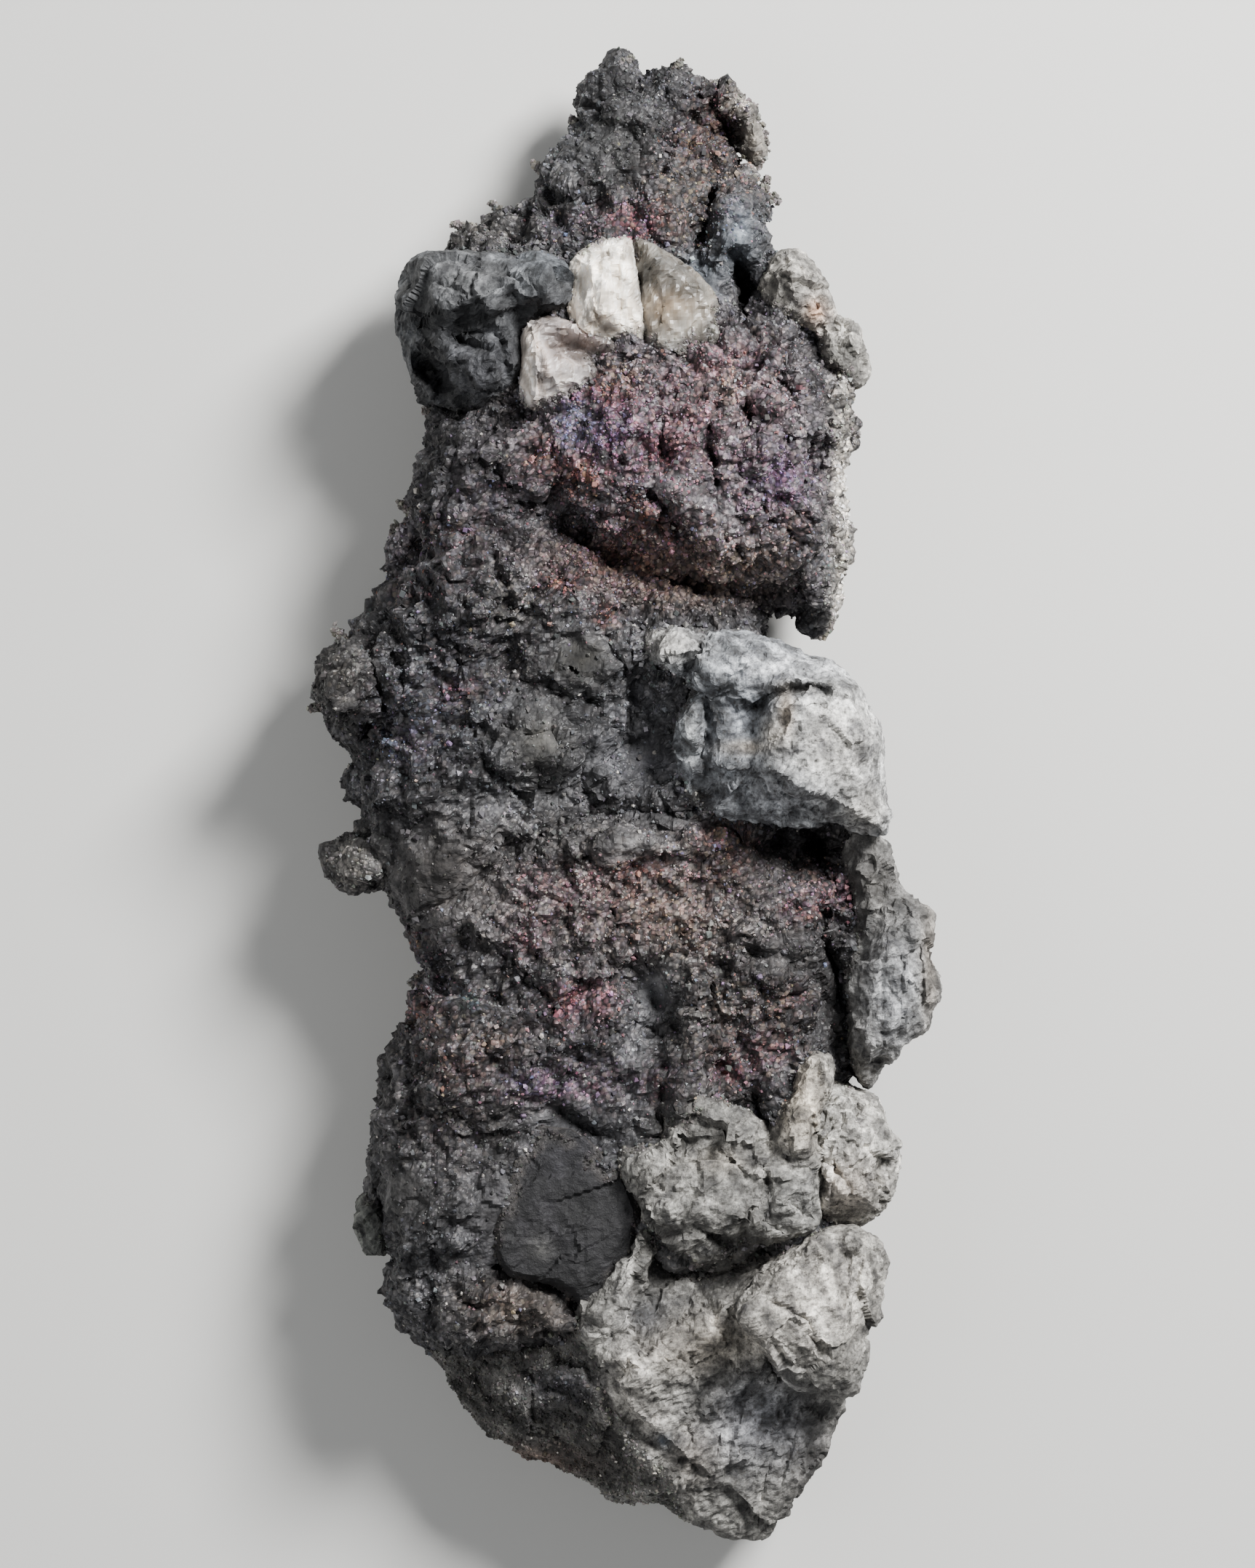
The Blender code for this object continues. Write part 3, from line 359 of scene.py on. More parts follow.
# x, y, reach across, reach along, strength
CALM = [
    (-2, 109, 7, 6, 0.45), (22, 112, 2.5, 7, 0.7), (19, 92, 4, 9, 0.8), (13, 87, 4, 5, 0.95),
    (6, 52, 3, 2, 0.5), (12, 50, 3, 3, 0.5), (16, 47, 3, 3, 0.4), (-7, 23, 6, 5, 0.95), (-14, 9, 6, 6, 0.85),
    (-16, 15, 5, 3, 0.7), (-5, 6, 6, 6, 0.7), (3, 9, 6, 9, 0.8), (-31, -12, 9, 9, 0.9), (-24, -3, 7, 4, 0.6),
    (1, -8, 5, 2.5, 0.75), (5, -33, 4, 7, 0.85), (12, -55, 5, 6, 0.8), (3, -44, 6, 3, 0.45),
    (26, -27, 3, 3, 0.6), (36, -33, 3, 10, 0.6), (-36, -66, 5, 5, 0.85), (-10, -54, 9, 4, 0.8),
    (-15, -94, 9, 4, 0.6), (8, -4, 8, 1.5, 0.7), (-12, 0, 6, 4, 0.6), (18, -78, 12, 6, 1),
    (-22, -70, 5, 12, 0.8), (-10, -70, 15, 17, 0.7), (-12, -84, 8, 2, 0.5), (26, -10, 6, 4, 0.4),
    (8, -50, 8, 4, 0.5),
]
# x, y, reach across, reach along, colour, strength
BODY_AND_PAINTED_SHADE = [
    (0, 108, 22, 18, "#424143", 0.7), (-25, 45, 22, 22, "#454548", 0.7), (-23, 57, 14, 10, "#242225", 0.95),
    (-30, 15, 16, 22, "#47484c", 0.7), (-30, -12, 10, 10, "#403c38", 0.8), (10, 60, 22, 18, "#6c686c", 0.6),
    (36.6, 50, 2, 24, "#f6f0e4", 1), (12, 50, 6, 4, "#9b9fa1", 0.7), (4, 40, 14, 4, "#8a7060", 0.85),
    (12, 35, 12, 3, "#8a7262", 0.8), (17, 38, 10, 4, "#5a4c3e", 0.5), (-2, 109, 8, 7, "#464544", 0.8),
    # (16, 114) is painted shade in the hollow under the hook
    (16, 114, 5, 6, "#3a2f28", 0.85), (20, 118, 3, 2, "#dcd4c8", 0.9), (22.5, 111, 2, 4, "#cbc3b6", 0.95),
    # (20, 85) is painted shade in the gap beside the tongue
    (19, 93, 4, 8, "#6c747c", 0.8), (13, 87, 4, 5, "#626a72", 0.9), (20, 85, 3, 5, "#2c2a2a", 0.9),
    (-24, 96, 8, 4, "#5c5852", 0.5), (-10, 112, 6, 6, "#6a6c70", 0.5), (-7, 23, 6, 5, "#3a3832", 0.85),
    (-14, 9, 6, 7, "#3f3d37", 0.8), (3, 9, 6, 9, "#707075", 0.85), (-47, 20, 6, 8, "#514d47", 0.7),
    (-18, 32, 6, 4, "#74726c", 0.5), (-18, 22, 5, 4, "#6c6864", 0.4), (5, -18, 18, 8, "#7c756c", 0.6),
    (17, -9, 7, 5, "#4a382c", 0.7), (1, -8, 5, 2.5, "#7c7c7c", 0.6), (14, -40, 8, 12, "#76726a", 0.5),
    # (35, -30) is painted shade in the gully along the right edge
    (27, -32, 8, 13, "#3b3735", 0.75), (5, -33, 4, 7, "#737478", 0.8), (35, -30, 4, 14, "#3c3a3a", 0.8),
    (12, -55, 6, 6, "#74726e", 0.7), (-25, -50, 16, 14, "#4e4a46", 0.6), (-36, -66, 5, 5, "#4a4846", 0.8),
    # (-17, -95) is painted shade in the recess across the lower end
    (-10, -56, 7, 4, "#46464a", 0.8), (-18, -85, 10, 5, "#746658", 0.6), (-17, -95, 11, 4, "#403e3e", 0.8),
    # (33, -8) is a painted shadow under the overhang of the middle rock
    (-46, -11, 5, 5, "#8c8882", 0.7), (-38, 44, 2, 5, "#bcb4bc", 0.9), (33, -8, 5, 4, "#2a2624", 0.8),
    (7, -53, 3, 4, "#403f3e", 0.8), (18, -78, 12, 6, "#62605d", 0.95), (-22, -70, 4, 9, "#454345", 0.7),
    (8, 64, 24, 16, "#8a8488", 0.7), (22, 50, 12, 14, "#8c878a", 0.6), (-3, -16, 22, 10, "#8a8280", 0.6),
    (-10, -7, 8, 4, "#6a6866", 0.5), (7, -27, 6, 4, "#6c6a66", 0.4),
]
# Half width, height, and the points of the line
SILVER_LINES = [
    # The top sheet: the hollow under the hook, its rim, the deep crack and the gap beside the tongue
    (4, -4, (16.5, 118), (17.5, 113), (18, 108)), (1.6, 1.3, (12, 121.5), (16, 120.5), (20, 118), (23, 109)),
    (1.6, -3.2, (14.6, 101.5), (13.2, 96.5), (11.5, 92.5), (8.5, 89.2)), (3.2, -5, (19, 90), (20, 81)),
    (2.2, 1.2, (-15, 100), (-22, 98.5), (-29, 95)), (2.6, 1, (3, 119), (4.5, 112), (4, 106)),
    (3, 1.2, (-2, 122), (-1, 115), (-5, 108)), (2, -1, (7, 120), (8, 112), (7, 106)),
    (2, -1.2, (-9, 101), (-4, 99), (1, 99)), (2, 1, (-12, 104), (-7, 102.5)),
    # The bulb: its pits, its grooves, the deep groove under it and the thin sheet along its right side
    (2.8, -3.6, (20.5, 63.5)), (1.9, -2.8, (14.5, 63), (14.2, 57), (15, 53)),
    (1.8, -2.6, (30.5, 60), (31, 54)), (2, -2.4, (5, 50), (7, 46.5), (10.5, 43.5)),
    (3, -2, (-10, 47), (-4, 42.5), (2, 39.5), (10, 36), (20, 34.5)),
    (2, 2.2, (36, 70), (37, 62), (35, 55), (36.5, 46), (35.5, 36), (34, 30)),
    (2, -1.8, (33, 68), (32.5, 58), (33, 48)), (3, 1, (7, 52)), (3, 0.9, (13, 49)), (2.6, 0.9, (24, 57)),
    (3, 0.9, (19, 58)), (2.5, -2.2, (24, 47), (27, 44)), (2, -2.5, (9, 67), (6, 61), (8, 57)),
    (2, -2.4, (26, 70), (28, 64)), (2.5, 1.2, (15, 73)),
    # The middle field: smooth hollow, cracked lump, dark rock
    (5, -1.4, (-10, 26), (-4, 22)), (1.3, -1.3, (-16, 10.5), (-12, 11), (-10, 8)),
    (1.6, -1.8, (-14, 4.5), (-15.5, 2)), (1.3, -1.4, (-9.5, 15), (-8, 8), (-6, 0)),
    (1.2, 1, (-8, 0.5), (-4, 4), (-1, 6.5)), (1.4, 1, (-4, -4.8), (3, -3.6), (9, -4.5)),
    (1.2, -1.2, (-6, -3.2), (3, -2), (9, -2.8)), (2.6, 1.3, (-24, 31), (-22, 36)),
    (2.4, -1.2, (-28, 28), (-27, 22)), (2, -1.2, (-38, 24), (-35, 14)), (2, 1.1, (-24, 20), (-23.5, 15)),
    (1.6, -1.5, (-19, 64), (-21, 57), (-19, 52)), (1.8, 1.2, (2, 20), (8, 23)),
    (1.6, -1.6, (-11, 36.5), (-8.5, 34.5)), (1.6, -1.4, (1, 37), (4, 35), (3, 32)),
    (2, -1.4, (-3, 27), (0, 21)), (1.6, -1.6, (-36, 47), (-35, 43)), (3, 1, (-46, 20)),
    (2, -1.2, (-42, 26), (-40.5, 16)),
    # The lower field: the cavity under the overhang, its hollows and ridges
    (3.2, -3.4, (31, -5), (34, -8), (33, -12)), (2.4, -2.6, (33, -22), (36, -30), (38, -38), (39, -45)),
    (5, -1.4, (4, -28), (6, -38)), (2.2, 1.6, (12.5, -31), (11.5, -38), (12, -44), (9, -52)),
    (3, -1.6, (27, -27)), (2, 1, (-10, -26), (-4, -30)), (3, -2.4, (7, -50), (6, -57)),
    (2.2, -1.8, (22, -50), (25, -57)), (1.4, 1, (-32, -20), (-26, -17)), (1.4, -1.2, (-31, -22), (-25, -19)),
    (2, -1.3, (-10, -13), (-6, -9)), (2, 1.1, (17, -18), (24, -24)), (2.6, -1.4, (-1, -21), (-3, -16)),
    (2, -1.5, (-16, -30), (-12, -35)), (1.6, -1.4, (1, -37), (4, -39), (9, -37.5)),
    (2, 1.2, (-22, -41), (-15, -40)), (2, -1.3, (-30, -49), (-26, -53)), (3, -1.6, (-10, -52), (-4, -55)),
    (1.5, -2, (-40, -69), (-39, -76)), (1.6, -2.2, (-21, -78), (-13, -80), (-5, -84)),
    (2.4, -2, (-28, -92), (-16, -94), (-6, -98)), (2, 1.2, (-26, -82), (-18, -84), (-9, -88)),
]


# %% [markdown]
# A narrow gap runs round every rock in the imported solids, so that they stay clear of each other. On the real
# specimen the silver grew tight against the rock, so the skin is drawn over the gap. Where the photograph
# shows an open crack, the gap stays.

# %% Remesh the silver and draw it up to the rocks
ROCKS = [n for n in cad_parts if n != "silver_mass"]
OPEN_CRACKS = [(-30, 65, 8, 3, 1), (24, -4.5, 12, 2, 1), (-40, -72, 2, 5, 1), (20, 86, 2, 6, 1)]


def rock_surface(but=None):
    """A search tree of the surfaces of all rocks, or of all but one."""
    corners, faces = [], []
    for node in (n for n in ROCKS if n != but):
        start = sum(map(len, corners))
        corners.append(places(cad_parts[node]))
        faces += [[start + i for i in p.vertices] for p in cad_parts[node].data.polygons]
    return BVHTree.FromPolygons(np.concatenate(corners).tolist(), faces)


def rock_reach(co, reach):
    """How far each point is from the nearest rock, up to reach, and the way there."""
    tree = rock_surface()
    far, way = np.full(len(co), reach), np.zeros((len(co), 3))
    for i, p in enumerate(co.tolist()):
        place, _, _, distance = tree.find_nearest(p, reach)
        if place is not None:
            far[i], way[i] = distance, np.array(place) - p
    return far, way


SKIN_VOXEL, SMOOTHED = 0.6, 12
# How far from a rock the skin is drawn to it, how tight it gets, and how high its lip stands up
DRAWN, TIGHTNESS, LIP = 2.4, 0.9, 1.1

silver = take_copy("silver_mass", "native_silver_crust")
use_modifier(silver, "REMESH", mode="VOXEL", voxel_size=SKIN_VOXEL * MM, use_smooth_shade=False)
use_modifier(silver, "SMOOTH", factor=0.5, iterations=SMOOTHED)
co = places(silver)
gap, way = rock_reach(co, DRAWN)
hold = soft((DRAWN - gap) / (DRAWN / 2)) * TIGHTNESS * (1 - spots(co, OPEN_CRACKS))
co += way * hold[:, None]
co[:, 2] += LIP * hold * soft(facings(silver)[:, 2] / 0.5)
put(silver, co)
print(f"the skin has {len(co)} points, and {(hold > 0.5).sum()} of them are held by a rock")

# %% [markdown]
# The hook at the top right is a thin arch of silver, and the solid is thicker there. What lies near the
# middle line of the arch is drawn towards it. Then all the strokes are carved.

# %% Thin out the hook and carve the strokes
HOOK = [(17.5, 118.8), (20, 116.6), (22, 113.2), (22.7, 109.8), (22.2, 107)]


def thin_out(piece, line, reach, share, from_x):
    """Draws the points right of from_x and near the line towards it, so that what runs along it gets thin."""
    co = places(piece)
    plan, line = co[:, :2], np.array(line, float)
    far, target = np.full(len(co), 1e9), plan.copy()
    for a, b in zip(line, line[1:]):
        t = np.clip((plan - a) @ (b - a) / ((b - a) @ (b - a)), 0, 1)
        place = a + t[:, None] * (b - a)
        distance = np.linalg.norm(plan - place, axis=1)
        target = np.where((distance < far)[:, None], place, target)
        far = np.minimum(far, distance)
    pull = share * soft((reach - far) / 2) * soft((co[:, 0] - from_x) / 1.5)
    co[:, :2] += (target - plan) * pull[:, None]
    put(piece, co)


thin_out(silver, HOOK, reach=5, share=0.65, from_x=18)
press(silver, SILVER_LINES)
print(len(SILVER_LINES), "strokes carved")

# %% [markdown]
# The roughness goes on in eight layers, from swells of 13 mm and 2 mm high down to crumbs of 1.2 mm and
# 0.4 mm high. The calm patches keep mainly the coarse ones. Facets are weaker on steep walls, where their
# steps would look like slices. Nothing is pushed below the floor that the specimen lies on.

# %% Roughen the silver
def roughen(piece, calm, layers, floor=0.0):
    """Moves each point along its normal, by layers of pattern, size, height and how much calm stills it."""
    co, out = places(piece), facings(piece)
    height = np.zeros(len(co))
    steep = 1 - 0.6 * soft((0.6 - out[:, 2]) / 0.5)
    for seed, (pattern, size, high, stilled) in enumerate(layers):
        held = steep if pattern is chips else 1
        height += held * high * pattern(co, size, seed + 1) * (1 - stilled * calm)
    moved = co + out * height[:, None]
    moved[:, 2] = np.maximum(moved[:, 2], floor)
    put(piece, moved)


calm = spots(places(silver), CALM)
roughen(silver, calm, [
    (swells, 13, 2.0, 0.3), (chips, 9, 1.5, 0.3), (ridges, 6, 1.2, 0.7), (crumbs, 4.5, 0.9, 0.6),
    (ridges, 3.4, 1.1, 0.7), (crumbs, 2.1, 0.7, 0.85), (ridges, 1.7, 0.45, 0.85), (crumbs, 1.2, 0.4, 0.9)])
co = places(silver)
write(silver, "calm", calm)
write(silver, "body", mottle(co, paint(co, CHARCOAL, BODY_AND_PAINTED_SHADE), 1.1, 0.9))
write(silver, "tarnish", paint(co, CHARCOAL, TARNISH_AND_PAINTED_SHADE))
print(f"calm covers {(calm > 0.5).mean():.0%} of the points")

# %% [markdown]
# ## What the silver is made of
# Native silver, grown as crumbs and left to tarnish: metal under a thin film of sulphide. Every crumb turns
# another face to the light, so one is nearly white and its neighbour black, and this is painted into its
# colour. A Voronoi pattern of 0.8 mm cells gives each crumb its own painted light and shade, hue and gloss,
# and its distance field paints shade into the grooves between them. The calm patches are dull and dusty,
# with hardly any metal to see.

# %% The tarnished silver
def tarnished_silver():
    material, tree = new_material("tarnished_native_silver")
    where = add(tree, "TexCoord").outputs["Object"]
    body = add(tree, "Attribute", attribute_name="body")
    film = add(tree, "Attribute", attribute_name="tarnish")
    calm = add(tree, "Attribute", attribute_name="calm").outputs["Fac"]
    crumb = add(tree, "TexVoronoi", {"Vector": where, "Scale": per(0.8), "Randomness": 1.0})
    dice = add(tree, "SeparateColor", {"Color": crumb.outputs["Color"]}).outputs
    # Painted light and shade: each crumb is made lighter or darker as if it turned another face to the light
    shade = add(tree, "ValToRGB", {"Fac": dice["Red"]}, stops=(
        (0, "#8c8c8c"), (0.45, "#b6b6b6"), (0.75, "#d8d6d4"), (0.95, "#fffaf2")))
    takes_film = add(tree, "MapRange", {"Value": dice["Green"], "From Min": 0.05, "From Max": 0.45})
    film_share = add(tree, "Math", {0: takes_film, 1: film.outputs["Alpha"]}, operation="MULTIPLY")
    film_stops = [(i / len(FILM), code) for i, code in enumerate(FILM)]
    hues = add(tree, "ValToRGB", {"Fac": dice["Blue"]}, stops=film_stops)
    hues.color_ramp.interpolation = "CONSTANT"
    hue = add(tree, "Mix", {0: 0.28, 6: film, 7: hues}, **COLOURS)
    ground = add(tree, "Mix", {0: film_share, 6: body, 7: hue}, **COLOURS)
    crumbed = add(tree, "Mix", {0: 1.0, 6: ground, 7: shade}, **TIMES)
    # Painted shade in the grooves between the crumbs
    groove = add(tree, "MapRange", {"Value": crumb, "From Min": 0.45, "From Max": 0.85})
    groove_shaded = add(tree, "Mix", {0: groove, 6: crumbed, 7: linear("#242222")}, **COLOURS)
    dust = add(tree, "TexNoise", {"Vector": where, "Scale": per(1.6), "Detail": 6.0, "Roughness": 0.6})
    dusty = add(tree, "ValToRGB", {"Fac": dust}, stops=((0.3, "#8c8c8c"), (0.5, "#c8c8c8"), (0.7, "#fffdf8")))
    matte = add(tree, "Mix", {0: 1.0, 6: body, 7: dusty}, **TIMES)
    colour = add(tree, "Mix", {0: calm, 6: groove_shaded, 7: matte}, **COLOURS)
    metal = add(tree, "MapRange", {"Value": calm, "To Min": 0.4, "To Max": 0.05})
    rough = add(tree, "MapRange", {"Value": dice["Blue"], "To Min": 0.45, "To Max": 0.8})
    rougher = add(tree, "Math", {0: rough, 1: calm}, operation="MAXIMUM")
    fine = add(tree, "TexNoise", {"Vector": where, "Scale": per(0.35), "Detail": 3.0})
    bumps = add(tree, "Bump", {"Height": crumb, "Strength": 0.6, "Distance": 0.35 * MM}, invert=True)
    normal = add(tree, "Bump", {"Height": fine, "Strength": 0.5, "Distance": 0.15 * MM, "Normal": bumps})
    shader = add(tree, "BsdfPrincipled", {
        "Base Color": colour, "Metallic": metal, "Roughness": rougher, "Normal": normal})
    add(tree, "OutputMaterial", {"Surface": shader})
    return material


# %% [markdown]
# The crust is handed in as an upper and a lower half, because a piece keeps under 200,000 triangles.

# %% Split the crust in two halves
def part_of(piece, name, chosen):
    """Some triangles of a piece as a piece of their own, with its painted attributes."""
    used, faces = np.unique(chosen, return_inverse=True)
    part = bpy.data.objects.new(name, bpy.data.meshes.new(name))
    bpy.context.scene.collection.objects.link(part)
    part.data.from_pydata(places(piece)[used] * MM, [], faces.reshape(-1, 3))
    for layer in ("body", "tarnish"):
        write(part, layer, read(piece.data.attributes[layer].data, "color", 4)[used])
    write(part, "calm", read(piece.data.attributes["calm"].data, "value", 1)[used, 0])
    return part


silver.data.calc_loop_triangles()
tri = read(silver.data.loop_triangles, "vertices").astype(int)
height = places(silver)[tri].mean(1)[:, 1]
middle = np.median(height)
skin = tarnished_silver()
hand_in(part_of(silver, "upper_silver_crust", tri[height > middle]), skin, "native_silver", "silver_mass")
hand_in(part_of(silver, "lower_silver_crust", tri[height <= middle]), skin, "native_silver", "silver_mass")

# %% [markdown]
# ## Crystal grains
# What glitters are single crystals, a third of a millimetre to one across. Three are modelled one by one: an
# octahedron and a cube with a broken corner, as silver crystallises, and a flatter crumb. Tens of thousands
# of copies are then joined into a few meshes, each turned at random, so each one has its own glint. Because
# there are so many, each model has only 8 to 16 triangles.

# %% Model three grains
def double_pyramid(sides, wide, tall):
    """A pyramid with a point in the middle of its floor, which is pulled down to a second tip."""
    bpy.ops.object.select_all(action="DESELECT")
    bpy.ops.mesh.primitive_cone_add(vertices=sides, radius1=wide, depth=tall, end_fill_type="TRIFAN")
    grain = bpy.context.object
    bpy.ops.object.mode_set(mode="EDIT")
    bpy.ops.mesh.select_all(action="DESELECT")
    bpy.ops.object.mode_set(mode="OBJECT")
    for vertex in grain.data.vertices:
        vertex.select = vertex.co.z < 0 and vertex.co.xy.length < 0.01
    bpy.ops.object.mode_set(mode="EDIT")
    bpy.ops.transform.translate(value=(0, 0, -tall))
    bpy.ops.object.mode_set(mode="OBJECT")
    return grain


def broken_cube(size):
    bpy.ops.object.select_all(action="DESELECT")
    bpy.ops.mesh.primitive_cube_add(size=size)
    grain = bpy.context.object
    bpy.ops.object.mode_set(mode="EDIT")
    bpy.ops.mesh.select_all(action="SELECT")
    bpy.ops.mesh.bisect(plane_co=(0.25, 0.25, 0.25), plane_no=(1, 1, 0.8), use_fill=True, clear_outer=True)
    bpy.ops.object.mode_set(mode="OBJECT")
    return grain


def as_model(grain, stretch):
    """Stretches a grain, cuts it into triangles and keeps its corners and faces as plain numbers."""
    pick(grain)
    bpy.ops.object.mode_set(mode="EDIT")
    bpy.ops.mesh.select_all(action="SELECT")
    bpy.ops.mesh.quads_convert_to_tris()
    bpy.ops.transform.resize(value=stretch)
    bpy.ops.object.mode_set(mode="OBJECT")
    corners = read(grain.data.vertices, "co")
    faces = np.array([p.vertices[:] for p in grain.data.polygons])
    bpy.data.objects.remove(grain)
    return corners - corners.mean(0), faces


GRAINS = [
    as_model(double_pyramid(4, 0.66, 0.62), (1, 0.85, 1)),
    as_model(broken_cube(0.8), (1, 0.9, 0.75)),
    as_model(double_pyramid(5, 0.56, 0.42), (1.1, 0.9, 1)),
]
print("triangles in each grain:", [len(faces) for _, faces in GRAINS])

# %% [markdown]
# A copy of a grain is its model, scaled, turned and moved. All copies of a model are made at once, as one
# table of corners, and a field of grains is one mesh. Each grain is painted in the colour of the ground that
# it grew on or of the film there, lighter or darker by clumps, and one in a hundred is fresh.

# %% Join copies of the grains on a host
def turned(rng, count):
    """Random rotations as matrices, from random quaternions."""
    turns = rng.normal(size=(4, count))
    w, x, y, z = turns / np.linalg.norm(turns, axis=0)
    return np.stack([
        1 - 2 * (y * y + z * z), 2 * (x * y - z * w), 2 * (x * z + y * w),
        2 * (x * y + z * w), 1 - 2 * (x * x + z * z), 2 * (y * z - x * w),
        2 * (x * z - y * w), 2 * (y * z + x * w), 1 - 2 * (x * x + y * y)], 1).reshape(-1, 3, 3)


def grain_colours(rng, spot, body, film):
    """Each grain has its ground's or the film's colour, lighter or darker by clumps and by chance."""
    count = len(body)
    clump = swells(spot, 2.4, 11)
    which = (0.5 + 1.1 * swells(spot, 2.1, 15)) * len(FILM) + rng.normal(0, 0.35, count)
    other = np.array([linear(code)[:3] for code in FILM])[np.clip(which, 0, len(FILM) - 1).astype(int)]
    hue = film[:, :3] + (other - film[:, :3]) * rng.choice([0.1, 0.5], (count, 1))
    colour = np.where((rng.random(count) < (0.8 + clump) * film[:, 3])[:, None], hue, body[:, :3])
    colour = colour * np.exp(0.5 * clump + rng.normal(0, 0.2, count))[:, None]
    tint = 1 + rng.normal(0, 0.05, (count, 3))
    fresh = rng.random(count) < 0.01
    colour = np.where(fresh[:, None], np.array(linear(PALE)[:3]) * 0.8, colour * tint)
    return np.concatenate([np.clip(colour, 0.004, 0.9), rng.uniform(0.5, 0.9, (count, 1))], 1)


def grow(host, name, count, small, large, chance, seed, rise=0.1):
    """Strews grains where chance is high, from half sunk to risen by their own size times rise."""
    rng = np.random.default_rng(seed)
    co = places(host)
    host.data.calc_loop_triangles()
    tri = read(host.data.loop_triangles, "vertices").astype(int)
    a, b, c = co[tri[:, 0]], co[tri[:, 1]], co[tri[:, 2]]
    out = np.cross(b - a, c - a)
    area = np.linalg.norm(out, axis=1)
    weight = area * chance[tri].mean(1)
    chosen = rng.choice(len(tri), count, p=weight / weight.sum())
    u, v = rng.random((2, count, 1))
    u, v = np.where(u + v > 1, 1 - u, u), np.where(u + v > 1, 1 - v, v)
    size = small + (large - small) * rng.random(count) ** 2.2
    lift = out[chosen] / np.maximum(area[chosen], 1e-9)[:, None]
    lift = lift * (size * rng.uniform(-0.35, rise, count))[:, None]
    spot = a[chosen] + u * (b - a)[chosen] + v * (c - a)[chosen] + lift
    body = read(host.data.attributes["body"].data, "color", 4)[tri[chosen, 0]]
    film = read(host.data.attributes["tarnish"].data, "color", 4)[tri[chosen, 0]]
    colour = grain_colours(rng, spot, body, film)
    return join_grains(name, rng, spot, size, colour)


def join_grains(name, rng, spot, size, colour):
    count = len(spot)
    turn = turned(rng, count) * size[:, None, None]
    kind = rng.integers(0, len(GRAINS), count)
    corners, faces, paint_rows, start = [], [], [], 0
    for k, (model, model_faces) in enumerate(GRAINS):
        mine = np.flatnonzero(kind == k)
        made = np.einsum("nij,mj->nmi", turn[mine], model) + spot[mine][:, None]
        made[:, :, 2] = np.maximum(made[:, :, 2], 0)
        corners.append(made.reshape(-1, 3))
        steps = start + np.arange(len(mine)) * len(model)
        faces.append((model_faces[None] + steps[:, None, None]).reshape(-1, 3))
        paint_rows.append(np.repeat(colour[mine], len(model), axis=0))
        start += len(mine) * len(model)
    mesh = bpy.data.meshes.new(name)
    mesh.from_pydata(np.concatenate(corners) * MM, [], np.concatenate(faces))
    piece = bpy.data.objects.new(name, mesh)
    bpy.context.scene.collection.objects.link(piece)
    write(piece, "grain", np.concatenate(paint_rows))
    return piece


# %% [markdown]
# The grains are crystals of the same silver, grown with flat faces and tarnished like the crust. Colour and
# roughness come from each grain's own paint, so the eye sees one glint here and none beside it.

# %% The silver of the grains
def crystal_silver():
    material, tree = new_material("silver_crystal_faces")
    own = add(tree, "Attribute", attribute_name="grain")
    shader = add(tree, "BsdfPrincipled", {
        "Base Color": own, "Metallic": 0.35, "Roughness": own.outputs["Alpha"]})
    add(tree, "OutputMaterial", {"Surface": shader})
    return material


crystal = crystal_silver()

# %% [markdown]
# The grains stand thick on some clumps and thin on others. They keep off the calm patches, and they crowd on
# the rim of each rock. What faces down gets a thinner field of its own.

# %% Scatter the grains over the silver
co, out = places(silver), facings(silver)
far, _ = rock_reach(co, 1.2)
on_rim = soft((out[:, 2] - 0.1) / 0.2)
open_ground = np.maximum(soft((far - 0.5) / 0.5), on_rim) * (1 - 0.93 * calm)
open_ground *= 0.2 + 1.6 * soft(0.5 + 1.4 * swells(co, 3.5, 13))
open_ground += 1.5 * on_rim * soft((1 - far) / 0.6) * (1 - spots(co, OPEN_CRACKS))
seen = soft((out[:, 2] + 0.35) / 0.5)
# Each field of grains: its lowest and highest y, how many grains, and where in it they grow
FIELDS = [
    ("top_sheet_grains", 88, 130, 7000, seen),
    ("bulb_grains", 30, 88, 9000, seen * soft((co[:, 0] + 14) / 4)),
    ("upper_field_grains", 5, 88, 8500, seen * soft((8 - co[:, 0]) / 4)),
    ("middle_field_grains", -40, 5, 9000, seen),
    ("lower_field_grains", -100, -40, 7500, seen),
    ("back_grains", -100, 130, 8000, 1 - seen),
]
NOWHERE = 1e-9
for seed, (name, low, high, count, share) in enumerate(FIELDS):
    inside = (co[:, 1] > low) & (co[:, 1] <= high)
    chance = open_ground * share * inside + NOWHERE * inside
    grains = grow(silver, name, count, 0.3, 0.75, chance, seed, rise=0.0)
    hand_in(grains, crystal, "native_silver")

# %% [markdown]
# In the seam between silver and rock lie coarser crumbs, which stand up a little, so that it doesn't look
# like a drawn line.

# %% Crumbs in the seams
in_seam = on_rim * soft((1.3 - far) / 0.7) * (1 - spots(co, OPEN_CRACKS))
count = 10000
seam = grow(silver, "seam_crumbs", count, 0.4, 1.2, in_seam + NOWHERE, 77, rise=0.6)
hand_in(seam, crystal, "native_silver")

# %% [markdown]
# Along the ragged edges the silver ends in small twigs of crystals. Each twig is a line with a height, and
# grains are strewn along it, thinner towards its tip.

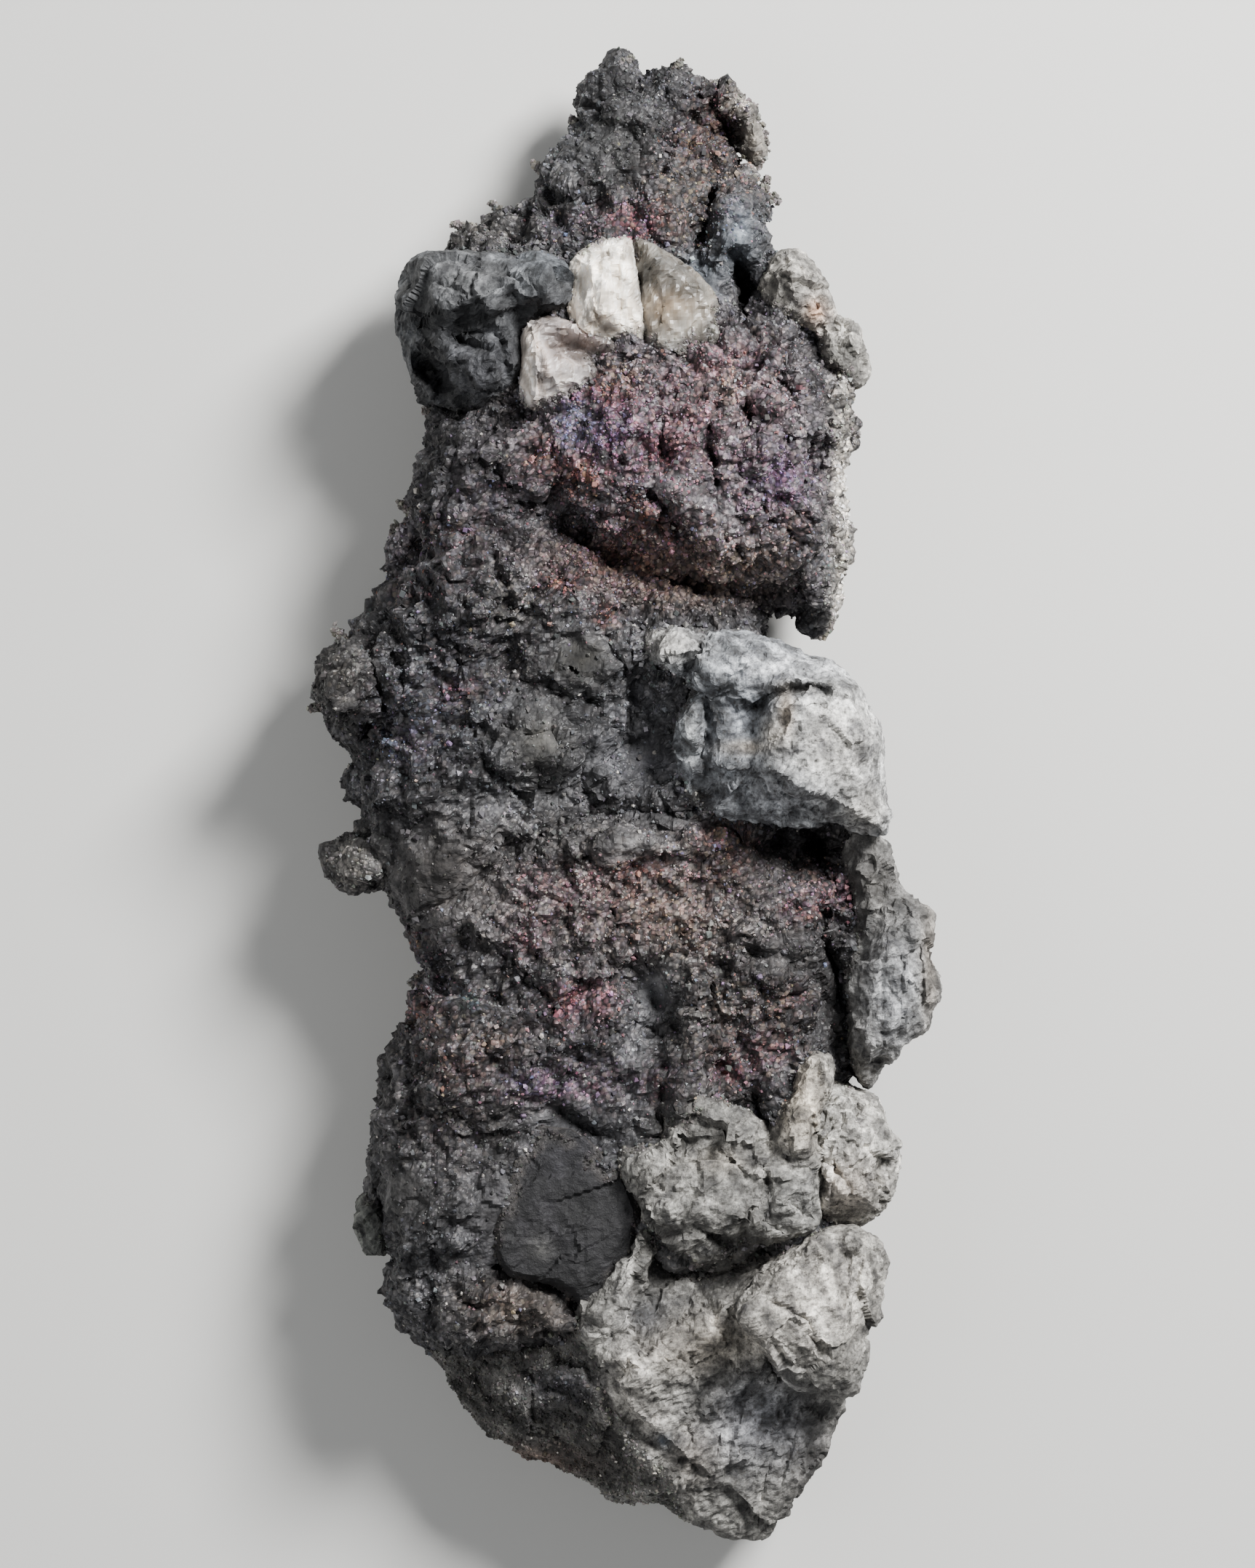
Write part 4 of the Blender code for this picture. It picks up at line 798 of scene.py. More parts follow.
# %% Twigs of crystals along the edges
TWIGS = [
    # Height, thickness, and the points of the line
    (16, 1.6, (19, 118), (21.5, 116), (23, 112.5), (23.2, 109.5), (22.3, 107)),
    (17, 1.2, (13, 120), (16, 121), (19.5, 119)), (17, 1.2, (-1.5, 122), (-1, 125), (1, 125.4)),
    (17, 1.1, (8, 122), (9.5, 125)), (16, 1.0, (3, 119), (5, 122.5)),
    (17, 1.1, (21, 101), (23.4, 103), (24.3, 105.2)), (17, 1.0, (23, 101), (25.4, 102), (26, 101)),
    (17, 1.0, (-20, 98), (-22.5, 101)), (17, 1.1, (-25, 96), (-29, 97.4)),
    (17, 1.0, (-12, 105), (-15.4, 107.6)), (17, 1.0, (-7, 113), (-9, 115.2)),
    (18, 1.3, (35.5, 33), (34.5, 29), (33, 27.5)), (18, 2, (-35, 41), (-38, 42), (-38.6, 46)),
    (18, 1.0, (-36, 48), (-38, 50)), (17, 1.2, (-47, 26), (-49, 28.5)), (17, 1.2, (-50, 16), (-53, 15)),
    (17, 1.1, (-43, 4), (-46.6, 5)), (17, 1.2, (-46, -13), (-50, -13.5)),
    (17, 1.0, (-34, -30), (-36.4, -31.5)), (18, 1.0, (-32, 64), (-34, 66)),
    (18, 1.0, (37, 60), (39.4, 61.5)), (18, 1.0, (36, 47), (38.4, 46)),
]
# How many grains stand on each millimetre of a twig of that thickness
CROWD = 60


def strew(name, rows, seed):
    rng = np.random.default_rng(seed)
    spot, size = [], []
    for height, thick, *line in rows:
        line = np.array(line, float)
        runs = np.linalg.norm(np.diff(line, axis=0), axis=1)
        along = rng.random(int(CROWD * thick * runs.sum())) * runs.sum()
        steps = np.concatenate(([0], np.cumsum(runs)))
        plan = np.stack([np.interp(along, steps, line[:, i]) for i in (0, 1)], 1)
        reach = thick * (1 - 0.6 * along / runs.sum())[:, None] * rng.normal(0, 0.45, (len(along), 3))
        spot.append(np.column_stack([plan, np.full(len(along), float(height))]) + reach)
        size.append(rng.uniform(0.4, 1.0, len(along)))
    spot, size = np.concatenate(spot), np.concatenate(size)
    body = np.tile(linear("#75716d", 0.0), (len(spot), 1))
    return join_grains(name, rng, spot, size, grain_colours(rng, spot, body, body))


hand_in(strew("edge_twigs", TWIGS, 41), crystal, "native_silver")

# %% [markdown]
# ## Host rock and calcite
# The host rock broke in the crack before the silver closed round it. It is a fine-grained stone with a dull
# broken surface: the eye sees clouds of lighter and darker grain, dark specks, light crystals and thin
# closed cracks. Calcite is a clear to white mineral that cleaves in flat glossy faces. Light gets a little
# way in, and fine brown lines run in it.

# %% The stone materials
def stone(name, grit, dark, contrast):
    """Broken host rock, whose specks have the size of its grit."""
    material, tree = new_material(name)
    where = add(tree, "TexCoord").outputs["Object"]
    body = add(tree, "Attribute", attribute_name="body")
    cloud = add(tree, "TexNoise", {"Vector": where, "Scale": per(3.2), "Detail": 5.0, "Roughness": 0.7})
    clouds = add(tree, "ValToRGB", {"Fac": cloud}, stops=(
        (0.34, "#77777a"), (0.5, "#c8c8c8"), (0.63, "#ffffff")))
    mottled = add(tree, "Mix", {0: 1.0, 6: body, 7: clouds}, **TIMES)
    grain = add(tree, "TexNoise", {"Vector": where, "Scale": per(grit), "Detail": 4.0, "Roughness": 0.7})
    speck = add(tree, "MapRange", {"Value": grain, "From Min": 0.5, "From Max": 0.33, "To Max": contrast})
    specked = add(tree, "Mix", {0: speck, 6: mottled, 7: linear(dark)}, **COLOURS)
    light = add(tree, "MapRange", {"Value": grain, "From Min": 0.5, "From Max": 0.68, "To Max": contrast})
    brighter = add(tree, "Mix", {0: 1.0, 6: specked, 7: (1.7, 1.7, 1.68, 1)}, **TIMES)
    lit = add(tree, "Mix", {0: light, 6: specked, 7: brighter}, **COLOURS)
    bend = add(tree, "TexNoise", {"Vector": where, "Scale": per(3), "Detail": 3.0}).outputs["Color"]
    bent = add(tree, "VectorMath", {0: bend, 1: (4 * MM, 4 * MM, 4 * MM), 2: where}, operation="MULTIPLY_ADD")
    crack = add(tree, "TexVoronoi", {"Vector": bent, "Scale": per(6)}, feature="DISTANCE_TO_EDGE")
    split = add(tree, "MapRange", {"Value": crack, "From Min": 0.03, "From Max": 0.0, "To Max": 0.18})
    cracked = add(tree, "Mix", {0: split, 6: lit, 7: linear(dark)}, **COLOURS)
    rough = add(tree, "MapRange", {"Value": grain, "To Min": 0.9, "To Max": 0.55})
    fine = add(tree, "TexNoise", {"Vector": where, "Scale": per(grit / 3), "Detail": 3.0})
    coarse = add(tree, "Bump", {"Height": grain, "Strength": 0.8, "Distance": 0.35 * MM})
    bumps = add(tree, "Bump", {"Height": fine, "Strength": 0.6, "Distance": 0.12 * MM, "Normal": coarse})
    shader = add(tree, "BsdfPrincipled", {"Base Color": cracked, "Roughness": rough, "Normal": bumps})
    add(tree, "OutputMaterial", {"Surface": shader})
    return material


def calcite(name):
    """Cleaved calcite: glossy, with fine brown lines along its cleavage."""
    material, tree = new_material(name)
    where = add(tree, "TexCoord").outputs["Object"]
    body = add(tree, "Attribute", attribute_name="body")
    drawn = add(tree, "Mapping", {"Vector": where, "Rotation": (0, 0, 0.35), "Scale": (1, 0.3, 1)})
    vein = add(tree, "TexNoise", {"Vector": drawn, "Scale": per(1.5), "Detail": 5.0, "Distortion": 0.6})
    veins = add(tree, "ValToRGB", {"Fac": vein}, stops=(
        (0.28, "#8c7c6c"), (0.42, "#d8ccbe"), (0.55, "#ffffff"), (0.8, "#fffdf8")))
    veined = add(tree, "Mix", {0: 0.6, 6: body, 7: veins}, **TIMES)
    bumps = add(tree, "Bump", {"Height": vein, "Strength": 0.5, "Distance": 0.15 * MM})
    shader = add(tree, "BsdfPrincipled", {
        "Base Color": veined, "Roughness": 0.4, "IOR": 1.6, "Normal": bumps,
        "Subsurface Weight": 0.15, "Subsurface Radius": (1.2 * MM, 1 * MM, 0.8 * MM)})
    add(tree, "OutputMaterial", {"Surface": shader})
    return material


STONES = {
    "blue_grey_rock": stone("blue_grey_host_rock", 1.1, "#1c1c1e", 0.8),
    "dark_rock": stone("dark_fine_host_rock", 0.8, "#201f21", 0.45),
    "pale_rock": stone("pale_granular_host_rock", 0.9, "#33302d", 0.85),
    "white_calcite": calcite("white_calcite_crystal"),
    "tan_calcite": calcite("tan_calcite_cleavage"),
}

# %% [markdown]
# Each fragment is roughened by one of five recipes: rows of noise, size, height and how much calm stills it.
# Then come the fragments, one by one: the node that each stands for, its ground colour, its strokes, its
# ledges, its calm patches, its paint, and its flat faces. A face is x, y and reach, how deep it cuts, and
# the direction that it faces in.

# %% The recipes and the rock fragments
KNOBBLY = [(chips, 11, 2.2, 0.5), (ridges, 5, 0.7, 0.7), (chips, 4.6, 0.8, 0.6), (chips, 2, 0.25, 0.5),
           (ridges, 1.7, 0.3, 0.4), (swells, 0.9, 0.2, 0)]
BROKEN = [(chips, 11, 2.2, 0.75), (ridges, 6, 0.6, 0.7), (chips, 4.6, 0.6, 0.8), (swells, 2.6, 0.45, 0.7),
          (ridges, 1.9, 0.35, 0.5), (swells, 0.9, 0.35, 0.1)]
GRANULAR = [(chips, 9, 1.8, 0.6), (chips, 4, 0.8, 0.7), (chips, 2.1, 0.4, 0.6), (crumbs, 1.6, 0.2, 0.4),
            (ridges, 1.7, 0.3, 0.4), (swells, 0.9, 0.3, 0.1)]
SLEEK = [(chips, 10, 0.8, 0.5), (chips, 4, 0.25, 0.3), (swells, 1.2, 0.12, 0), (crumbs, 1.1, 0.1, 0)]
CLEAVED = [(chips, 6, 1.2, 0.7), (chips, 2.6, 0.6, 0.6), (chips, 1.4, 0.25, 0.3), (swells, 0.9, 0.15, 0)]

FRAGMENTS = [
    dict(
        node="left_shoulder_rock", name="left_shoulder_stone", slot="blue_grey_rock",
        layers=KNOBBLY, ground="#38393b",
        lines=[(3, -2.6, (-33.5, 74), (-31, 69.5)), (2.2, -1.4, (-34, 80), (-26, 79.5), (-20, 77)),
            (1.6, -1.2, (-21, 76), (-19, 70))],
        ledges=[(5, 1.5, (-38, 79.5), (-33, 80), (-27, 81.5), (-20, 80), (-16, 82)),
            (3, 1.4, (-24, 90), (-25, 84), (-20, 76)), (2, 1.2, (-35, 79), (-37, 73), (-33, 67)),
            (3, 1, (-31, 70), (-27, 76), (-28, 80))],
        calm=[(-12, 89.5, 7, 2, 0.8), (-32, 87, 5, 3, 0.5)],
        # (-33, 72) is painted shade in the hollow on the left side of the stone
        paints=[(-33, 72, 3, 4, "#1c1b1a", 0.9), (-13, 89.5, 7, 2.5, "#70757b", 0.7),
            (-24, 71, 6, 5, "#38383c", 0.7), (-37, 78, 2, 6, "#7c8084", 0.5),
            (-28, 86, 10, 4, "#7c7d7e", 0.8), (-17, 85, 4, 3, "#64676a", 0.4)],
        faces=[(-28, 86, 14, 1.6, 0.1, 0.9, 0.5), (-22, 72, 11, 0.8, 0, -0.3, 1),
            (-36, 78, 12, 1.4, -0.9, 0.1, 0.5), (-28, 83, 12, 1.0, -0.1, 0.3, 1)]),
    dict(
        node="calcite_upper", name="upper_calcite_crystal", slot="white_calcite",
        layers=CLEAVED, ground="#fbf5ea",
        lines=[(1, -0.8, (-4, 91), (-5, 84), (-4, 79)), (1, -0.7, (-1, 90), (-1.5, 83), (0, 78))],
        ledges=[(2, 0.9, (-6, 92), (-5.5, 85), (-8, 79)), (2, 0.8, (0, 78), (-2, 83), (-1, 91))],
        calm=[],
        # (3, 86) is a painted shadow strip along the right side of the crystal
        paints=[(3, 86, 1.6, 6, "#54524e", 0.95), (-4, 78, 4, 2, "#cfc0ae", 0.5)],
        faces=[(-3, 85, 14, 1.2, 0.1, 0.1, 1), (-3, 85, 14, 1.6, -0.8, 0, 0.6),
            (-3, 85, 14, 1.6, 0.7, -0.1, 0.7), (-3, 85, 14, 1.8, 0, -0.8, 0.6),
            (-3, 85, 14, 1.8, -0.2, 0.8, 0.6)]),
    dict(
        node="calcite_lower", name="lower_calcite_crystal", slot="white_calcite",
        layers=CLEAVED, ground="#a09895",
        lines=[(3.4, -2.4, (-11.5, 76), (-8, 75), (-4, 73.5)),
            (1.2, 0.9, (-13.5, 74), (-12.5, 70), (-9.5, 66))],
        ledges=[(1.5, 1, (-14.5, 66), (-14.2, 72), (-15, 78)), (2, 0.6, (-15, 79), (-9, 77.5), (-3, 74.5))],
        calm=[(-9, 72, 6, 6, 0.7)],
        # (-8, 75.5) is a painted shadow line under the top rim
        paints=[(-16, 72, 1.6, 7, "#f6f1ea", 0.95), (-8, 75.5, 5, 2.4, "#74655f", 0.75),
            (-12, 71, 2.5, 3, "#8f8580", 0.5), (-9, 67.5, 4, 3, "#cdc9c6", 0.6)],
        faces=[(-9, 72, 14, 0.8, 0, 0.1, 1), (-9, 72, 14, 1.3, -0.7, -0.3, 0.7),
            (-9, 72, 14, 1.4, 0.3, -0.8, 0.6)]),
    dict(
        node="calcite_cleaved", name="cleaved_calcite_crystal", slot="tan_calcite",
        layers=CLEAVED, ground="#716e68",
        lines=[(1, -0.6, (4, 88), (6, 82), (5, 76))],
        ledges=[],
        calm=[(8, 81, 9, 9, 1)],
        # (4, 88) is painted shadow beside the upper crystal
        paints=[(7, 81, 5, 3, "#ae977a", 0.55), (4, 88, 2, 3, "#4a4945", 0.7),
            (11, 78, 4, 3, "#858580", 0.5)],
        faces=[(8, 81, 14, 1.9, 0.15, -0.1, 1), (8, 81, 14, 1.6, 0.8, 0.3, 0.5),
            (8, 81, 14, 1.6, -0.2, -0.9, 0.4), (8, 81, 14, 1.4, -0.8, 0.1, 0.6)]),
    dict(
        node="right_shoulder_rock", name="right_shoulder_stone", slot="pale_rock",
        layers=GRANULAR, ground="#a29e97",
        lines=[(1.5, -1, (26, 87), (27, 83)), (1.5, -1, (35, 79), (36, 74))],
        ledges=[(3, 1.2, (27, 80), (29, 85), (28, 91)), (2.5, 1.2, (34, 70), (35, 76), (33, 82))],
        calm=[],
        paints=[(32, 81, 2, 2, "#c09474", 0.7), (37, 74, 3, 4, "#6c6b66", 0.7),
            (25, 86, 2, 4, "#807c74", 0.6)],
        faces=[(29, 84, 9, 1.2, 0.3, 0.4, 1), (31, 80, 9, 1.2, 0.8, 0.2, 0.6),
            (36, 74, 7, 1.2, 0.6, -0.3, 0.7)]),
    dict(
        node="middle_rock", name="middle_stone", slot="pale_rock",
        layers=BROKEN, ground="#8f9296",
        lines=[(2.6, -0.8, (18.5, 20.5), (15.5, 17.5), (14.5, 13), (15, 8.5), (18, 6)),
            (5, -1, (19, 15), (20, 11)), (1.3, -1.5, (22, 15.5), (27, 17.8), (33, 17.5)),
            (3, -1.2, (16, 0), (24, 0), (32, -1.5)), (2, -2, (12.5, 2), (13.5, -1)),
            (1.4, -1, (9, 22.5), (13, 21)), (1.2, -0.9, (22, 2.5), (28, 0), (33, -2.5))],
        ledges=[(5, 0.5, (13, 6), (12.5, 12), (14.2, 17), (17.5, 21), (21, 23)),
            (3.5, 1.8, (20, 15.5), (24, 17.6), (28, 19.4), (34, 18)),
            (7, 1.6, (30, 18), (27, 15), (26, 10), (21, 7), (16, 6)),
            (4, 1.8, (15, 4.5), (24, 4.5), (30, 1), (36, -1), (42, -5)),
            (3, 1.8, (2, 20), (7, 22.8), (13, 24.2))],
        calm=[(36, 8, 7, 8, 0.9), (27, 22, 6, 2, 0.6), (11, 14, 2, 6, 0.5), (19, 12, 6, 7, 0.85)],
        paints=[(35, 9, 9, 10, "#e2dfd8", 0.95), (40, -2, 4, 4, "#cdc8be", 0.7),
            (7, 25.5, 5, 3, "#eae6de", 0.9), (20, 13, 4.5, 6, "#72767c", 0.85),
            # (16.5, 19) to (16, 5.8) are painted shade along the curved groove
            (16.5, 19, 2.2, 1.6, "#3c3e41", 0.8), (14.5, 15, 2, 3.4, "#3c3e41", 0.7),
            (14.6, 9.5, 1.8, 3, "#46484c", 0.6), (16, 5.8, 2, 1.3, "#3c3e41", 0.7),
            # (22.5, 15.5) here and (28, 18) below are painted shadow under the diagonal ledge
            (22.5, 15.5, 1.6, 2.6, "#4c5056", 0.8), (26.5, 14, 1.2, 4, "#dccab4", 0.8),
            (20, 8.4, 3.4, 1, "#d8cdbe", 0.8), (24.5, 10.5, 1.6, 2.4, "#dcd4c8", 0.8),
            (26, 21.5, 7, 1.8, "#d8dadd", 0.9), (28, 18, 6, 1, "#4c4742", 0.8),
            (24, 0, 9, 3, "#b0b2b6", 0.9), (12.5, 1, 2, 3, "#2c2c2e", 0.85),
            (10.8, 11, 1.3, 6, "#b8bab9", 0.6)],
        faces=[(35, 8, 14, 1.3, 0.3, 0.1, 1), (20, 24, 12, 1.2, 0, 0.7, 0.7), (8, 24, 8, 1, -0.3, 0.2, 1)]),
    dict(
        node="right_edge_rock", name="right_edge_stone", slot="pale_rock",
        layers=BROKEN, ground="#7c7a77",
        lines=[(2, -1.7, (43, -14), (42, -20), (40, -26)), (1.1, -0.9, (46, -26), (46, -40)),
            (1.8, -1.4, (44.5, -17.5)), (1.8, -1.4, (41, -11)), (1.2, -0.8, (43, -30), (43, -44))],
        ledges=[(4, 1.6, (41.5, -44), (41, -36), (42.5, -27), (44, -19)),
            (2, 1.3, (45.5, -12), (47, -18), (49.5, -24), (50, -34))],
        calm=[(45.5, -34, 4, 9, 0.8)],
        paints=[(45, -33, 5, 11, "#9c9d9f", 0.9), (42, -15, 3.5, 6, "#403e3b", 0.85),
            (51, -28, 1.6, 10, "#8c8276", 0.7)],
        faces=[(45, -34, 13, 1.2, 0.5, 0.1, 0.8), (43, -16, 8, 1, -0.4, 0.2, 1),
            (49, -26, 8, 1.2, 0.9, 0.3, 0.4)]),
    dict(
        node="lower_right_rock", name="lower_right_stone", slot="pale_rock",
        layers=GRANULAR, ground="#bab7b0",
        lines=[(1.1, -1, (38, -50), (38.5, -55)), (1.4, -1, (34, -60), (38, -66))],
        ledges=[(3, 1.4, (34, -68), (34.5, -60), (36, -53)), (2, 1.2, (38, -55), (39, -48))],
        calm=[(37, -64, 4, 5, 0.5)],
        paints=[(37, -65, 5, 5, "#cdc0b2", 0.7), (40, -51, 2, 3, "#d0cbc3", 0.6),
            (43, -68, 3, 3, "#6f6c66", 0.6)],
        faces=[(38, -60, 14, 0.9, 0.2, 0.1, 1), (38, -60, 14, 1.6, 0.8, -0.2, 0.6),
            (38, -60, 14, 1.3, -0.6, 0.4, 0.7), (38, -60, 14, 1.8, 0, -0.9, 0.5),
            (38, -60, 14, 1.6, 0.5, 0.7, 0.5)]),
    dict(
        node="band_rock", name="band_stone", slot="pale_rock",
        layers=BROKEN, ground="#8d8b86",
        lines=[(1, -1.8, (31, -53), (32.5, -62)), (1, -1.5, (20, -70), (24, -65), (23, -61)),
            (2.2, -2.4, (6, -72), (9, -78)), (1.2, -1.2, (25, -44), (26, -52), (24, -58))],
        ledges=[(4, 1.6, (-1, -66), (4, -60), (10, -56), (18, -56)),
            (5, 1.6, (27, -44), (26.5, -52), (28, -58)), (5, 1.4, (26, -72), (18, -68), (10, -66), (4, -68)),
            (4, 1.2, (8, -76), (14, -72), (22, -70)), (3, 1.2, (16, -58), (20, -62), (26, -63)),
            (3, 1, (12, -58), (13, -64), (10, -70))],
        calm=[(29, -51, 3, 6, 0.7), (22, -66, 4, 3, 0.6), (14, -62, 4, 3, 0.5)],
        paints=[(29, -50, 4, 8, "#d4c8b6", 0.95), (29, -66, 4, 6, "#b8b7b2", 0.7),
            # (20, -74) is painted shade in the hollow wedge, and (8, -73) on a ledge face turned away from the
            # light
            (20, -74, 6, 3, "#5c5b58", 0.8), (8, -73, 2, 3, "#3a3836", 0.8), (6, -62, 4, 4, "#b4b0a8", 0.5),
            (16, -60, 4, 2, "#b7ae9f", 0.6)],
        faces=[(14, -60, 9, 1.1, -0.3, 0.3, 1), (24, -66, 8, 1, 0.2, -0.3, 1),
            (29, -50, 7, 0.8, 0.3, 0.2, 1)]),
    dict(
        node="dark_slab_rock", name="dark_slab_stone", slot="dark_rock",
        layers=SLEEK, ground="#1b1a1c",
        lines=[],
        ledges=[(3, 0.5, (-6, -70), (-14, -74), (-20, -73))],
        calm=[],
        paints=[(-8, -60, 7, 4, "#2f2e32", 0.6), (-14, -75, 2, 2, "#5c5b58", 0.5)],
        faces=[(-12, -68, 20, 2.6, 0, 0, 1), (-12, -68, 20, 1, -0.2, 0.2, 1),
            (-12, -68, 20, 1, 0.3, -0.3, 1)]),
    dict(
        node="base_rock", name="base_stone", slot="pale_rock",
        layers=BROKEN, ground="#83817c",
        lines=[(1.1, -2, (18, -85.5), (23, -91), (26, -97)), (4.5, -2.4, (24, -76), (14, -82), (9, -87)),
            (2.2, -2.4, (5, -74), (9, -79)), (2.4, -1.6, (3, -84), (1, -89)),
            (1.2, -0.9, (14, -98), (10, -104), (12, -112)), (1.2, -0.9, (22, -97), (16, -106), (14, -116)),
            (1.2, -0.9, (30, -100), (25, -108), (23, -118)), (2, -1.6, (-28, -100), (-16, -97), (-5, -101)),
            (2, -1.6, (0, -102), (5, -108)), (1.1, -1, (32, -76), (31, -80)),
            (1, -0.8, (24, -83), (30, -86), (33, -92)), (1, -0.8, (37, -76), (36, -84))],
        ledges=[(9, 2.6, (30.5, -73.5), (24, -79), (18.3, -85.2)),
            (6, 1.8, (18.3, -85.2), (23, -91), (27, -97)), (5, 1.8, (17, -84), (8, -88.5), (0, -93.5)),
            (4, 2.2, (-2, -94), (1, -101), (7, -107), (14, -113)),
            (3, 1.8, (3.5, -70), (-1, -79), (-5.5, -84.5)), (3, 1.2, (26, -95), (20, -101), (18, -110)),
            (4, 1, (36, -96), (30, -103), (27, -114))],
        calm=[(31, -83, 11, 11, 1), (22, -105, 12, 12, 0.85), (10, -92, 6, 4, 0.4)],
        paints=[(31, -82, 9, 9, "#f4ede1", 0.95), (10, -92, 8, 4, "#b8b2a8", 0.6),
            (14, -87.5, 3.5, 1.6, "#e6dfd4", 0.8), (7, -91, 4, 1.8, "#e6dfd4", 0.8),
            # (2, -95) is a painted highlight on the ridge knob, and (16, -80) is painted shade in the hollow
            # wedge
            (2, -95, 2.5, 2.5, "#f2ece2", 0.9), (16, -80, 7, 4.5, "#666461", 0.9),
            (4, -87, 4, 4, "#4a4b50", 0.9), (-15, -105, 14, 8, "#3c3a38", 0.95),
            # (0.5, -97) is a painted highlight on the ridge knob
            (-4, -111, 8, 7, "#403e3c", 0.9), (0.5, -97, 3, 5, "#f0eae0", 0.95),
            (-1, -79, 2.5, 5, "#cbc8c2", 0.9), (5, -104, 2.5, 4, "#cdc8c0", 0.8),
            (-16, -112, 10, 2.5, "#6e5a50", 0.8), (12, -110, 4, 5, "#9a9188", 0.6),
            (32, -112, 6, 12, "#3a3735", 0.9), (14, -91, 8, 4, "#a89e8f", 0.7),
            (22, -104, 8, 8, "#8b8c92", 0.8), (6.5, -107, 1.4, 1.4, "#33404e", 0.9),
            (-26, -98, 6, 8, "#3c3a38", 0.9), (-10, -98, 8, 4, "#35343a", 0.9)],
        faces=[(31, -83, 13, 2.8, 0.2, 0.25, 1), (22, -104, 13, 1.2, 0.3, -0.2, 1),
            (36, -90, 10, 1.5, 0.8, -0.1, 0.6), (16, -90, 7, 1, -0.1, -0.5, 1)]),
    dict(
        node="left_foot_rock", name="left_foot_stone", slot="blue_grey_rock",
        layers=GRANULAR, ground="#61635e",
        lines=[], ledges=[], calm=[], paints=[],
        faces=[(-42, -66, 8, 0.8, -0.2, 0, 1), (-42, -66, 8, 1, -0.6, 0.5, 0.6),
            (-42, -66, 8, 1, -0.4, -0.7, 0.6)]),
]

# These close the gap to their neighbours: middle in x and y, and how much wider they get
SPREAD = {
    "calcite_cleaved": (5, 84, 1.18), "calcite_upper": (-3, 85, 1.06), "dark_slab_rock": (-10, -70, 1.1),
    "band_rock": (13, -62, 1.04), "lower_right_rock": (38, -60, 1.04),
}
# These sit tight among their neighbours, with crumbs in the seams
TIGHT = ["calcite_upper", "calcite_lower", "calcite_cleaved", "dark_slab_rock", "left_shoulder_rock"]
print(len(FRAGMENTS), "fragments")

# %% [markdown]
# Rock and crystal break along planes. A remeshed copy has lost its edges, so it gets them back: within the
# reach of a face, whatever stands out beyond its plane is moved back onto it.

# %% Break faces flat, and feel for the neighbours
def break_flat(piece, rows):
    """Within reach, what stands out beyond a plane is moved back onto it, as rock and crystal break."""
    co = places(piece)
    for x, y, reach, depth, *way in rows:
        way = np.array(way) / np.linalg.norm(way)
        away = np.linalg.norm(co[:, :2] - (x, y), axis=1)
        out = co @ way
        over = np.maximum(out - out[away < reach].max() + depth, 0) * soft(4 * (1 - away / reach))
        co -= over[:, None] * way
    put(piece, co)


def surface_tree(piece):
    return BVHTree.FromPolygons(places(piece).tolist(), [p.vertices[:] for p in piece.data.polygons])


def nearness(co, tree, reach=2.5):
    """1 where a point touches the surface, 0 where it is farther than reach."""
    far = [tree.find_nearest(p, reach)[3] for p in co.tolist()]
    return 1 - np.array([reach if f is None else f for f in far]) / reach


# %% [markdown]
# Now each fragment gets its skin: remeshed, grown a little to close the gap round it, broken, carved and
# roughened. Near the silver it is calmer and greyed by silver dust, so that it looks embedded in it.

# %% Make the fragments
STONE_VOXEL, DUST = 0.48, "#4a4644"

silver_tree = surface_tree(silver)
edge_hosts = []
for rock in FRAGMENTS:
    node, slot = rock["node"], rock["slot"]
    piece = take_copy(node, rock["name"])
    use_modifier(piece, "REMESH", mode="VOXEL", voxel_size=STONE_VOXEL * MM, use_smooth_shade=False)
    use_modifier(piece, "SMOOTH", factor=0.5, iterations=2)
    grown = 0.8 if "calcite" in slot else 0.55
    put(piece, places(piece) + grown * facings(piece))
    if node in SPREAD:
        x, y, wider = SPREAD[node]
        put(piece, (places(piece) - (x, y, 0)) * (wider, wider, 1) + (x, y, 0))
    break_flat(piece, rock["faces"])
    press(piece, rock["lines"], rock["ledges"])
    touch = nearness(places(piece), silver_tree)
    if node in TIGHT:
        touch = np.maximum(touch, 0.8 * nearness(places(piece), rock_surface(but=node)))
    roughen(piece, np.maximum(spots(places(piece), rock["calm"]), 0.8 * touch), rock["layers"])
    co = places(piece)
    colour = mottle(co, paint(co, rock["ground"], rock["paints"]), 0.6, 0.7, 0.9)
    near = soft((touch - 0.3 + 0.35 * swells(co, 2.5, 5)) / 0.45) * (1 - spots(co, OPEN_CRACKS))
    colour[:, :3] += (np.array(linear(DUST)[:3]) - colour[:, :3]) * (0.75 * near)[:, None]
    write(piece, "body", colour)
    write(piece, "tarnish", np.zeros((len(colour), 4)))
    edge_hosts.append((piece, near))
    hand_in(piece, STONES[slot], slot, node)

# %% [markdown]
# Crumbs of silver also creep over the edges of the fragments, and the flank of the base is overgrown with
# them, so that no fragment looks glued on.

# %% Grains on the edges of the fragments
FLANK = np.array([
    (-40, -70), (-31, -88), (-20, -91), (-9, -88), (-5, -93), (-3, -100), (2, -107), (8, -114), (12, -130),
    (-50, -130)])
PER_SQUARE_MM, FEWEST, MOST = 3.2, 20, 9000


def within(co, outline):
    """True where a point is inside the outline in plan."""
    found = np.zeros(len(co), bool)
    for (ax, ay), (bx, by) in zip(outline, np.roll(outline, -1, axis=0)):
        crosses = (ay > co[:, 1]) != (by > co[:, 1])
        found ^= crosses & (co[:, 0] < ax + (co[:, 1] - ay) * (bx - ax) / (by - ay or 1))
    return found


